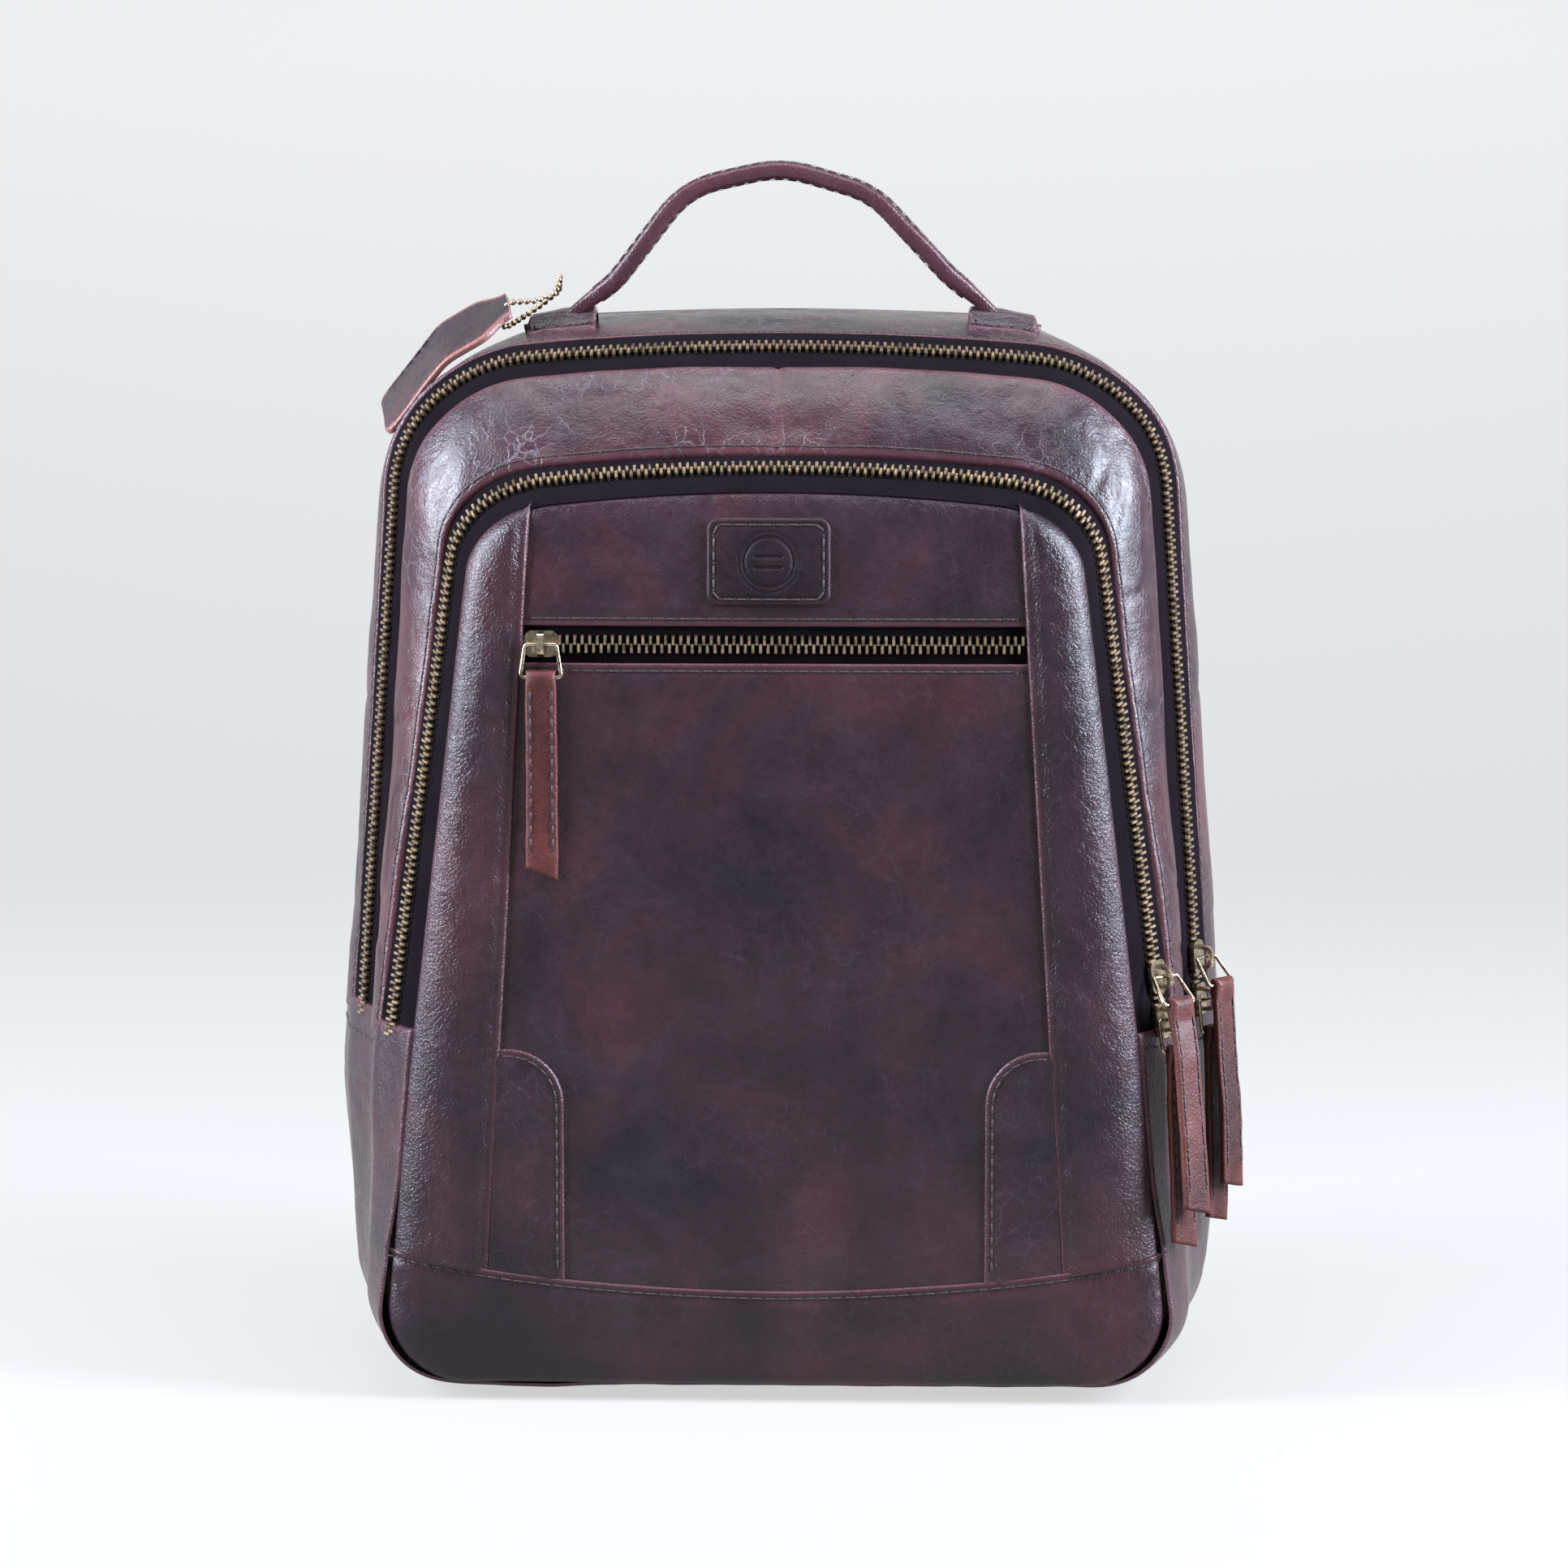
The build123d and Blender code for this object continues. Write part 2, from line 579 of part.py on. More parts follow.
def tag_pieces():
    """A leather hang tag bent over the top corner, on a loop of bead chain round the handle's left end."""
    side = trace(FilletPolyline((-101, 397.5), (-126, 383), (-148, 355), radius=[20]), line_width=2.4)
    tag = extrude(Plane.XZ.offset(-44) * side, 36, dir=(0, -1, 0))
    eye = Vector(-106.2, 26, 394.5)
    through = Vector(0.5, 0, -0.866)
    tag -= Plane(origin=eye - through * 4, z_dir=through) * extrude(Circle(2.4), 8)
    turns = [
        eye,
        eye + through * 3.4,
        Vector(-99, 33, 394.8),
        Vector(-92, 38.5, 399.5),
        Vector(-85, 38.5, 405),
        Vector(-84, 30, 410.8),
        Vector(-85, 22, 405),
        Vector(-92, 22.5, 402),
        Vector(-102, 24.5, 401.2),
        eye - through * 3.4,
    ]
    links = [chain_link(a, b, 0.9) for a, b in zip(turns, turns[1:] + turns[:1])]
    bead_wire = links[0].fuse(*links[1:])
    return {"hang_tag": tag, "tag_chain": bead_wire}


# ---------------------------------------------------------------- whole bag

def strap_node_pieces():
    made = {}
    heads = []
    for name, side in (("left", -1), ("right", 1)):
        head, pad, web, adjuster = strap_pieces(side)
        heads.append(head)
        made[f"strap_pad_{name}"] = pad
        made[f"strap_web_{name}"] = web
        made[f"adjuster_{name}"] = adjuster
    made["strap_heads"] = Compound(heads)
    right = strap_anchors()
    sewn = right[:1] + right[2:]
    made["strap_anchors"] = Compound(sewn + [mirror(s, about=Plane.YZ) for s in sewn])
    made["anchor_rings"] = Compound([right[1], mirror(right[1], about=Plane.YZ)])
    made["strap_yoke"] = yoke()
    return made


def all_pieces():
    made = {}
    made.update(back_pieces())
    made.update(gusset_pieces())
    made.update(long_zip_pieces("main", MAIN_ZIP))
    made.update(long_zip_pieces("front", FRONT_ZIP))
    made.update(front_pieces())
    made["corner_patches"] = corner_patches()
    made["badge"] = badge()
    made.update(pocket_pieces())
    made.update(side_pull_pieces())
    made.update(pocket_pull_pieces())
    made.update(handle_pieces())
    made.update(strap_node_pieces())
    made.update(tag_pieces())
    return made


os.makedirs("parts", exist_ok=True)
for node, shape in all_pieces().items():
    export_step(shape, f"parts/{node}.step")
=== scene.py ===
"""Looks of the leather backpack: detailed leather, zips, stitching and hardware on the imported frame."""
import math

import bmesh
import bpy
import numpy as np
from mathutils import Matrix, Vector


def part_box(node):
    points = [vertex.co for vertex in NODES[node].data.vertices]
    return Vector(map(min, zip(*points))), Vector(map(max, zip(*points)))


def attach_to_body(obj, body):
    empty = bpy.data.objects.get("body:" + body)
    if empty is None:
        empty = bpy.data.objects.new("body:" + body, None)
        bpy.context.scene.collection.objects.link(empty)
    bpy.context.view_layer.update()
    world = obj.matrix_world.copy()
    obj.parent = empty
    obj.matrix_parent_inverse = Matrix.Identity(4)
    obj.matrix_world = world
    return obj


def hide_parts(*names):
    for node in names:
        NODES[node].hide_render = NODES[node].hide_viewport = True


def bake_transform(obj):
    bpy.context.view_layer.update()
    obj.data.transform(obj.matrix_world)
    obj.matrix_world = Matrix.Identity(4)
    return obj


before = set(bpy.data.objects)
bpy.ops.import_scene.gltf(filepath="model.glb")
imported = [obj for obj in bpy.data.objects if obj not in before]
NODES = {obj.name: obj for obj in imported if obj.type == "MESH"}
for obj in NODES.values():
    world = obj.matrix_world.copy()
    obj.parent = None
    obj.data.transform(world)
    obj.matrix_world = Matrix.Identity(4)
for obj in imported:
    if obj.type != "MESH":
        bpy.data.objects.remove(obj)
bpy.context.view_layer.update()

MM = 0.001

# ---------------------------------------------------------------- measures of the bag, in millimetres

FOLD_Z = 134.0
# the bag's outline at depth y: half widths at the bottom, belly and top, height of the belly,
# height of the bottom and the top, radii of the lower and upper corners, rise of the arched top
BACK = dict(y=70, low=152, belly=158, belly_z=110, top=138, bz=0, tz=396, lr=44, tr=72, arch=3)
BELLY = dict(y=30, low=160, belly=169, belly_z=110, top=147, bz=0, tz=394, lr=46, tr=74, arch=4)
REAR_EDGE = dict(y=7, low=160, belly=164.5, belly_z=110, top=144.5, bz=0, tz=390, lr=44, tr=60, arch=4)
MID_RIM = dict(y=-18, low=154, belly=153, belly_z=110, top=134, bz=0, tz=379, lr=38, tr=48, arch=4)
MID_EDGE = dict(y=-40, low=150, belly=150, belly_z=120, top=117, bz=3, tz=347, lr=34, tr=36, arch=5)
FRONT_EDGE = dict(y=-60, low=146, belly=134, belly_z=130, top=109, bz=6, tz=336, lr=28, tr=30, arch=6)
ARCH_X, ARCH_TALL = 92.0, 46.0
MID_Z = 190.0
# depths of the two long zips' lines, and the pocket zip's line, window and depth under the leather
MAIN_Y, FRONT_Y = -5.5, -48.4
POCKET_Z, POCKET_TOP, POCKET_LOW, POCKET_ZIP_DEEP = 282.0, 288.6, 275.2, 2.4

SIDES = ((1, "right"), (-1, "left"))
FORWARD, BACKWARD, UPWARD = np.array([[0, -1.0, 0], [0, 1.0, 0], [0, 0, 1.0]])

# where leather bends when a flap opens: from this body to that one, between these two places (m); attach
# reads none of it and only bakes the piece in place
REAR_FOLD = ("back_shell", "main_flap", (0, -0.005, 0.160), (0, -0.0161, 0.170))
FRONT_FOLD = ("main_flap", "front_flap", (0, -0.066, 0.134), (0, -0.0773, 0.1404))


def mix(a, b, y):
    t = (y - a["y"]) / (b["y"] - a["y"])
    return {k: a[k] + t * (b[k] - a[k]) for k in a}


def grow(o, d):
    g = dict(o)
    for k in ("low", "belly", "top", "tz", "lr", "tr"):
        g[k] = o[k] + d
    g["bz"] = o["bz"] - d
    return g


# ---------------------------------------------------------------- small number tools

def smooth(t):
    t = np.clip(t, 0, 1)
    return t * t * (3 - 2 * t)


def unit(v):
    return v / np.maximum(np.linalg.norm(v, axis=-1, keepdims=True), 1e-9)


def _hash(ix, iy, iz, seed):
    n = (ix * 73856093) ^ (iy * 19349663) ^ (iz * 83492791) ^ (seed * 265443576)
    n = (n ^ (n >> 13)) & 0xFFFFFFFF
    n = (n * 1274126177) & 0xFFFFFFFF
    return ((n >> 9) & 0xFFFF) / 32767.5 - 1


def noise(p, scale, seed=1):
    """Smooth value noise from -1 to 1 at points in mm."""
    q = np.asarray(p, float) / scale
    i = np.floor(q).astype(np.int64)
    f = q - i
    f = f * f * f * (f * (f * 6 - 15) + 10)
    total = 0
    for dx in (0, 1):
        wx = f[..., 0] if dx else 1 - f[..., 0]
        for dy in (0, 1):
            wy = f[..., 1] if dy else 1 - f[..., 1]
            for dz in (0, 1):
                wz = f[..., 2] if dz else 1 - f[..., 2]
                total = total + wx * wy * wz * _hash(i[..., 0] + dx, i[..., 1] + dy, i[..., 2] + dz, seed)
    return total


def lumps(p, big=0.8, small=0.25, seed=1):
    """Soft unevenness of worn leather, in mm."""
    return big * noise(p, 46, seed) + small * noise(p, 17, seed + 7) + 0.35 * small * noise(p, 7.5, seed + 13)


def creases(p, scale, seed=3):
    """Narrow folds: 0 on the leather, down to -1 in the fold lines."""
    warp = np.stack([noise(p, scale * 1.7, seed + k) for k in (1, 2, 3)], -1) * scale * 0.6
    n = noise(np.asarray(p) + warp, scale, seed)
    return -np.exp(-((n / 0.09) ** 2))


def run_along(poly):
    """Distance along a path at each of its points."""
    steps = np.linalg.norm(np.diff(np.asarray(poly, float), axis=0), axis=1)
    return np.concatenate([[0], np.cumsum(steps)])


def read_at(s, values, m):
    """Values given at distances s along a path, read at distance m."""
    return np.array([np.interp(m, s, values[:, k]) for k in range(3)])


def resample(poly, ts):
    """Points at shares ts of a polyline's length."""
    poly = np.asarray(poly, float)
    s = run_along(poly)
    s = s / s[-1]
    return np.stack([np.interp(ts, s, poly[:, k]) for k in range(poly.shape[1])], -1)


def length_of(poly):
    return float(run_along(poly)[-1])


def distance_to(path, pts):
    """Distance from each flat point to a polyline."""
    path = np.asarray(path, float)
    best = np.full(len(pts), 1e9)
    for a, b in zip(path, path[1:]):
        ab = b - a
        t = np.clip(((pts - a) @ ab) / max(1e-9, ab @ ab), 0, 1)
        best = np.minimum(best, np.linalg.norm(pts - a - t[:, None] * ab, axis=1))
    return best


def wobble(verts, by, scale, seed):
    """Points moved a little, so that no band is perfectly straight."""
    return verts + by * np.stack([noise(verts, scale, seed + k) for k in range(3)], -1)


def graded(length, step=4.0, ends=(True, True)):
    """Shares from 0 to 1 with close spacing near the chosen ends."""
    close = [0, 0.35, 0.8, 1.35, 2.0, 2.9, 4.2, 6.2]
    left = close if ends[0] else [0]
    right = close if ends[1] else [0]
    a, b = left[-1], length - right[-1]
    n = max(2, int(round((b - a) / step)))
    middle = list(np.linspace(a, b, n + 1))[1:-1]
    marks = left + middle + [length - r for r in reversed(right)]
    return np.array(marks) / length


def roll(d, r, depth):
    """How far an edge turned with radius r drops, to depth, at distance d from it."""
    q = np.clip(1 - np.asarray(d, float) / r, 0, 1)
    return depth * (1 - np.sqrt(np.clip(1 - q * q, 0, 1)))


# ---------------------------------------------------------------- outline rings

def fillet_corner(prev, corner, nxt, r, n):
    """An arc of n points with radius r between the two straight lines that meet at a corner."""
    p, c, q = (np.array(v, float) for v in (prev, corner, nxt))
    a, b = unit(p - c), unit(q - c)
    half = math.acos(max(-1, min(1, float(a @ b)))) / 2
    run = r / math.tan(half)
    centre = c + unit(a + b) * (r / math.sin(half))
    s, e = c + a * run, c + b * run
    t0 = math.atan2(*(s - centre)[::-1])
    t1 = math.atan2(*(e - centre)[::-1])
    d = (t1 - t0 + math.pi) % (2 * math.pi) - math.pi
    ang = t0 + d * np.linspace(0, 1, n)
    return np.stack([centre[0] + r * np.cos(ang), centre[1] + r * np.sin(ang)], -1)


def line(a, b, n):
    return np.linspace(np.array(a, float), np.array(b, float), n)


def ring_half(o, fine=1):
    """Right half of the outline in (x, z), bottom centre to top centre, and the index at FOLD_Z."""
    low, belly, top = (o["low"], o["bz"]), (o["belly"], o["belly_z"]), (o["top"], o["tz"])
    a = fillet_corner((0, o["bz"]), low, belly, o["lr"], 14 * fine)
    b = fillet_corner(low, belly, top, 120, 4 * fine)
    c = fillet_corner(belly, top, (0, o["tz"]), o["tr"], 20 * fine)
    fold = b[-1] + (c[0] - b[-1]) * (FOLD_Z - b[-1][1]) / (c[0][1] - b[-1][1])
    parts = [
        line((0, o["bz"]), a[0], 16 * fine)[:-1],
        a[:-1],
        line(a[-1], b[0], 12 * fine)[:-1],
        b[:-1],
        line(b[-1], fold, 3 * fine)[:-1],
        line(fold, c[0], 44 * fine)[:-1],
        c[:-1],
        line(c[-1], (0, o["tz"]), 24 * fine),
    ]
    k = sum(len(p) for p in parts[:5])
    pts = np.concatenate(parts)
    near_top = smooth((pts[:, 1] - (o["tz"] - ARCH_TALL)) / ARCH_TALL)
    lift = o["arch"] * (0.3 - (pts[:, 0] / ARCH_X) ** 2) * near_top
    pts[:, 1] += np.where(pts[:, 0] > ARCH_X, -0.7 * o["arch"] * near_top, lift)
    return pts, k


def mirrored(pts):
    return pts * np.array([-1.0, 1.0])


def upper_arch(o, fine=1):
    """From the left end at the fold, over the top, to the right end."""
    pts, k = ring_half(o, fine)
    return np.concatenate([mirrored(pts[k:]), pts[k:][::-1][1:]])


def lower_loop(o, fine=1):
    """From the left end at the fold, under the base, to the right end."""
    pts, k = ring_half(o, fine)
    return np.concatenate([mirrored(pts[k::-1]), pts[1 : k + 1]])


def whole_ring(o):
    pts, _ = ring_half(o)
    return np.concatenate([pts, mirrored(pts[::-1])[1:-1]])


def at_depth(pts, y):
    return np.stack([pts[:, 0], np.full(len(pts), float(y)), pts[:, 1]], -1)


def loft(rings, vs, curved=False):
    """Grid over rings (each (n, 3)) at shares vs, straight or smooth between the rings. Returns (n, m, 3)."""
    rings = np.array(rings, float)
    last = len(rings) - 1
    if last == 1:
        v = np.asarray(vs)[None, :, None]
        return rings[0][:, None] * (1 - v) + rings[1][:, None] * v
    along = run_along(rings[:, len(rings[0]) // 2])
    along = along / along[-1]
    out = []
    for v in vs:
        j = min(last - 1, int(np.searchsorted(along, v, "right") - 1))
        t = (v - along[j]) / (along[j + 1] - along[j])
        p0, p1, p2, p3 = (rings[min(max(i, 0), last)] for i in range(j - 1, j + 3))
        if not curved:
            out.append(p1 * (1 - t) + p2 * t)
            continue
        square = (2 * p0 - 5 * p1 + 4 * p2 - p3) * t**2
        cube = (3 * p1 - p0 - 3 * p2 + p3) * t**3
        out.append(0.5 * (2 * p1 + (p2 - p0) * t + square + cube))
    return np.stack(out, 1)


def normals_of(grid, outward):
    n = unit(np.cross(np.gradient(grid, axis=0), np.gradient(grid, axis=1)))
    return n * np.sign((n * outward).sum(-1).mean())


# ---------------------------------------------------------------- meshes

def grid_faces(nu, nv, flip=False):
    a, b = np.meshgrid(np.arange(nu - 1), np.arange(nv - 1), indexing="ij")
    a, b = a.ravel(), b.ravel()
    quads = np.stack([a * nv + b, (a + 1) * nv + b, (a + 1) * nv + b + 1, a * nv + b + 1], -1)
    return quads[:, ::-1] if flip else quads


def tube_faces(nu, nv, closed=False):
    """Faces of nu rings of nv points, each ring closed; closed joins the last ring to the first."""
    faces = []
    for i in range(nu if closed else nu - 1):
        here, there = i * nv, (i + 1) % nu * nv
        faces += [[here + j, here + (j + 1) % nv, there + (j + 1) % nv, there + j] for j in range(nv)]
    return faces


def put_mesh(name, verts, faces, material, slot, wear=None, soft=True):
    """A mesh object from vertices in mm. wear says how much of a worn edge each vertex is, from 0 to 1."""
    verts = np.asarray(verts, float)
    mesh = bpy.data.meshes.new(name)
    mesh.from_pydata((verts * MM).tolist(), [], [list(map(int, f)) for f in faces])
    mesh.polygons.foreach_set("use_smooth", [soft] * len(mesh.polygons))
    rest = mesh.attributes.new("rest_mm", "FLOAT_VECTOR", "POINT")
    rest.data.foreach_set("vector", verts.astype(np.float32).ravel())
    edge = mesh.attributes.new("edge", "FLOAT", "POINT")
    wear = np.zeros(len(verts)) if wear is None else np.ravel(wear)
    edge.data.foreach_set("value", wear.astype(np.float32))
    mesh.materials.append(material)
    mesh.update()
    obj = bpy.data.objects.new(name, mesh)
    bpy.context.scene.collection.objects.link(obj)
    return obj


def put_grid(name, grid, material, slot, outward, wear=None):
    n = np.cross(np.gradient(grid, axis=0), np.gradient(grid, axis=1))
    flip = float((n * np.asarray(outward)).sum(-1).mean()) < 0
    faces = grid_faces(grid.shape[0], grid.shape[1], flip)
    return put_mesh(name, grid.reshape(-1, 3), faces, material, slot, wear)


def join_parts(parts):
    """Joins (verts, faces) lists into one."""
    verts, faces, k = [], [], 0
    for v, f in parts:
        verts.append(np.asarray(v, float))
        faces.extend([[i + k for i in face] for face in f])
        k += len(v)
    return np.concatenate(verts), faces


def attach(obj, on, *nodes):
    """Puts a piece on a body (its name), or only bakes it in place for a fold (its rule, which is not read),
    and hides the nodes it stands for.
    """
    if isinstance(on, str):
        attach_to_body(obj, on)
    else:
        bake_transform(obj)
    if nodes:
        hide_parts(*nodes)
    return obj


# ---------------------------------------------------------------- materials

class Nodes:
    """Short forms for building a node material."""

    def __init__(self, name):
        self.mat = bpy.data.materials.new(name)
        self.mat.use_nodes = True
        self.tree = self.mat.node_tree
        self.bsdf = self.tree.nodes["Principled BSDF"]

    def node(self, kind, **values):
        n = self.tree.nodes.new(kind)
        for k, v in values.items():
            if k.startswith("in_"):
                n.inputs[k[3:].replace("_", " ")].default_value = v
            else:
                setattr(n, k, v)
        return n

    def set(self, **values):
        """Values on the shader's own sockets; an underscore stands for a space."""
        for k, v in values.items():
            self.bsdf.inputs[k.replace("_", " ")].default_value = v

    def link(self, a, b):
        self.tree.links.new(a, b)

    def attribute(self, name):
        return self.node("ShaderNodeAttribute", attribute_name=name)

    def math(self, op, a, b=None, clamp=False):
        n = self.node("ShaderNodeMath", operation=op, use_clamp=clamp)
        for i, v in enumerate((a, b)):
            if v is None:
                continue
            if isinstance(v, (int, float)):
                n.inputs[i].default_value = v
            else:
                self.link(v, n.inputs[i])
        return n.outputs[0]

    def ramp(self, fac, stops):
        n = self.node("ShaderNodeValToRGB")
        while len(n.color_ramp.elements) < len(stops):
            n.color_ramp.elements.new(0.5)
        for e, (pos, col) in zip(n.color_ramp.elements, stops):
            e.position = pos
            e.color = (*col, 1) if len(col) == 3 else col
        self.link(fac, n.inputs[0])
        return n.outputs[0]

    def mixcol(self, fac, a, b, blend="MIX"):
        n = self.node("ShaderNodeMix", data_type="RGBA", blend_type=blend)
        for sock, v in ((n.inputs[0], fac), (n.inputs[6], a), (n.inputs[7], b)):
            if isinstance(v, (int, float)):
                sock.default_value = v
            elif isinstance(v, tuple):
                sock.default_value = (*v, 1)
            else:
                self.link(v, sock)
        return n.outputs[2]

    def noise_tex(self, vec, scale, detail=4, rough=0.55, distort=0.0):
        values = dict(in_Scale=scale, in_Detail=detail, in_Roughness=rough, in_Distortion=distort)
        n = self.node("ShaderNodeTexNoise", **values)
        self.link(vec, n.inputs["Vector"])
        return n.outputs[0]

    def cell_walls(self, vec, scale):
        n = self.node("ShaderNodeTexVoronoi", feature="DISTANCE_TO_EDGE", in_Scale=scale)
        self.link(vec, n.inputs["Vector"])
        return n.outputs[0]

    def bump(self, height, strength, distance, normal=None):
        n = self.node("ShaderNodeBump", in_Strength=strength, in_Distance=distance)
        self.link(height, n.inputs["Height"])
        if normal is not None:
            self.link(normal, n.inputs["Normal"])
        return n.outputs[0]


def scaled(colour, by):
    return tuple(min(1, c * by) for c in colour)


def place(n, rested):
    """The coordinate of a point on the piece at rest, in mm (made meshes) or m (carried-over nodes)."""
    if rested:
        return n.attribute("rest_mm").outputs["Vector"]
    coord = n.node("ShaderNodeTexCoord").outputs["Object"]
    scale = n.node("ShaderNodeVectorMath", operation="SCALE")
    scale.inputs["Scale"].default_value = 1000.0
    n.link(coord, scale.inputs[0])
    return scale.outputs[0]


def leather(
    name, deep, mid, warm, bloom_and_sheen, grain=1.0, crack=0.5, gloss=0.29, warm_share=0.5, cut=None, spec=0.30,
):
    """Waxed pull-up leather: mottled colour, reddish worn edges, pale bluish patches of wax bloom with
    painted sheen, pebbled grain and fine pale cracks.
    """
    n = Nodes(name)
    co = place(n, True)
    cloud = n.noise_tex(co, 0.013, 5, 0.6, 0.6)
    mottle = n.noise_tex(co, 0.045, 6, 0.65, 0.4)
    speck = n.noise_tex(co, 0.35, 4, 0.6)
    col = n.ramp(cloud, [(0.36, deep), (0.52, mid), (0.68, warm)])
    tint = n.ramp(mottle, [(0.33, (0.76, 0.76, 0.8)), (0.66, (1.18, 1.14, 1.14))])
    col = n.mixcol(0.8, col, tint, "MULTIPLY")
    spots = n.ramp(speck, [(0.38, (0.9, 0.9, 0.9)), (0.66, (1.08, 1.06, 1.06))])
    col = n.mixcol(0.6, col, spots, "MULTIPLY")
    # worn reddish edges
    edge = n.attribute("edge").outputs["Fac"]
    worn = n.math("MULTIPLY", edge, n.math("ADD", 0.45, n.math("MULTIPLY", mottle, 1.1)), True)
    col = n.mixcol(n.math("MULTIPLY", worn, warm_share), col, cut or scaled(warm, 1.9))
    # pale bluish patches, partly waxy bloom and partly painted sheen
    bloom_and_sheen_mask = n.ramp(n.noise_tex(co, 0.028, 5, 0.7, 0.8), [(0.5, (0, 0, 0)), (0.74, (1, 1, 1))])
    col = n.mixcol(n.math("MULTIPLY", bloom_and_sheen_mask, 0.1), col, bloom_and_sheen)
    # fine pale cracks
    wander = n.node("ShaderNodeTexNoise", in_Scale=0.09, in_Detail=3)
    n.link(co, wander.inputs["Vector"])
    wide = n.node("ShaderNodeVectorMath", operation="SCALE", in_Scale=12.0)
    n.link(wander.outputs["Color"], wide.inputs[0])
    warp = n.node("ShaderNodeVectorMath", operation="ADD")
    n.link(co, warp.inputs[0])
    n.link(wide.outputs[0], warp.inputs[1])
    thin = n.ramp(n.cell_walls(warp.outputs[0], 0.11), [(0.0, (1, 1, 1)), (0.035, (0, 0, 0))])
    zone = n.ramp(n.noise_tex(co, 0.02, 4, 0.6), [(0.48, (0, 0, 0)), (0.6, (1, 1, 1))])
    vein = n.math("MULTIPLY", thin, zone)
    col = n.mixcol(n.math("MULTIPLY", vein, crack * 0.55), col, scaled(bloom_and_sheen, 1.7))
    n.link(col, n.bsdf.inputs["Base Color"])
    rough = n.math("ADD", gloss, n.math("MULTIPLY", n.math("SUBTRACT", mottle, 0.5), 0.22))
    rough = n.math("ADD", rough, n.math("MULTIPLY", n.math("SUBTRACT", speck, 0.5), 0.25), True)
    n.link(rough, n.bsdf.inputs["Roughness"])
    n.set(Specular_IOR_Level=spec, Coat_Weight=0.06, Coat_Roughness=0.2)
    # grain
    pebble = n.ramp(n.cell_walls(co, 0.62), [(0.0, (0, 0, 0)), (0.22, (1, 1, 1))])
    fine = n.noise_tex(co, 1.6, 5, 0.6)
    long_folds = n.noise_tex(co, 0.12, 6, 0.65, 1.4)
    height = n.math("ADD", n.math("MULTIPLY", pebble, 0.5), n.math("MULTIPLY", fine, 0.7))
    normal = n.bump(long_folds, 0.30, 0.0022)
    normal = n.bump(n.math("SUBTRACT", 1.0, vein), 0.35 * crack, 0.0006, normal)
    normal = n.bump(height, 0.34 * grain, 0.00035, normal)
    n.link(normal, n.bsdf.inputs["Normal"])
    return n.mat


def cloth_mat(name, colour, pitch=0.9, rough=0.85, rested=True):
    """Woven tape or lining: fine ribs across and along."""
    n = Nodes(name)
    co = place(n, rested)
    sep = n.node("ShaderNodeSeparateXYZ")
    n.link(co, sep.inputs[0])
    k = 2 * math.pi / pitch
    a, b = (
        n.math("SINE", n.math("MULTIPLY", n.math(op, sep.outputs[0], sep.outputs[2]), k))
        for op in ("ADD", "SUBTRACT")
    )
    weave = n.math("MULTIPLY", a, b)
    fuzz = n.noise_tex(co, 1.2, 4)
    dirt = n.noise_tex(co, 0.05, 4)
    col = n.ramp(dirt, [(0.3, scaled(colour, 0.75)), (0.7, scaled(colour, 1.3))])
    col = n.mixcol(0.4, col, n.ramp(fuzz, [(0.3, (0.7, 0.7, 0.7)), (0.7, (1.25, 1.25, 1.25))]), "MULTIPLY")
    n.link(col, n.bsdf.inputs["Base Color"])
    n.set(Roughness=rough, Specular_IOR_Level=0.04)
    n.link(n.bump(n.math("ADD", weave, fuzz), 0.5, 0.00018), n.bsdf.inputs["Normal"])
    return n.mat


def metal_mat(name, bright, dark, rough=0.34, rested=True):
    """Antique brass: dark in the hollows, worn bright spots."""
    n = Nodes(name)
    co = place(n, rested)
    patina = n.noise_tex(co, 0.35, 5, 0.65)
    fine = n.noise_tex(co, 2.2, 4)
    col = n.ramp(patina, [(0.36, dark), (0.62, bright)])
    n.link(col, n.bsdf.inputs["Base Color"])
    n.set(Metallic=1.0)
    rr = n.math("ADD", rough, n.math("MULTIPLY", n.math("SUBTRACT", fine, 0.5), 0.3), True)
    n.link(rr, n.bsdf.inputs["Roughness"])
    n.link(n.bump(fine, 0.15, 0.0002), n.bsdf.inputs["Normal"])
    return n.mat


def thread_mat(name, colour):
    n = Nodes(name)
    co = place(n, True)
    strands = n.noise_tex(co, 2.5, 3)
    col = n.ramp(strands, [(0.35, scaled(colour, 0.6)), (0.7, scaled(colour, 1.4))])
    n.link(col, n.bsdf.inputs["Base Color"])
    n.set(Roughness=0.6)
    n.link(n.bump(strands, 0.3, 0.0002), n.bsdf.inputs["Normal"])
    return n.mat


DEEP = (0.0090, 0.0042, 0.0082)
MID = (0.0200, 0.0078, 0.0130)
WARM = (0.0360, 0.0105, 0.0150)
# pale bluish colour of wax bloom and painted sheen, also used lighter for the pale cracks
BLOOM_AND_SHEEN = (0.075, 0.062, 0.08)
LEATHER = leather("waxed_leather", DEEP, MID, WARM, BLOOM_AND_SHEEN, crack=0.12)
LEATHER_CREASED = leather(
    "waxed_leather_creased", DEEP, (0.027, 0.0105, 0.0155), (0.048, 0.0155, 0.0195), BLOOM_AND_SHEEN,
    grain=0.9, crack=0.8,
)
LEATHER_PEBBLED = leather(
    "waxed_leather_pebbled", DEEP, MID, (0.036, 0.0120, 0.0165), BLOOM_AND_SHEEN, grain=1.5, crack=0.2,
)
PULL_LEATHER = leather(
    "pull_leather", (0.022, 0.0048, 0.0046), (0.048, 0.0100, 0.0088), (0.075, 0.0165, 0.0135),
    (0.10, 0.04, 0.036), grain=1.4, crack=0.1, gloss=0.5, cut=(0.085, 0.024, 0.020), spec=0.2,
)
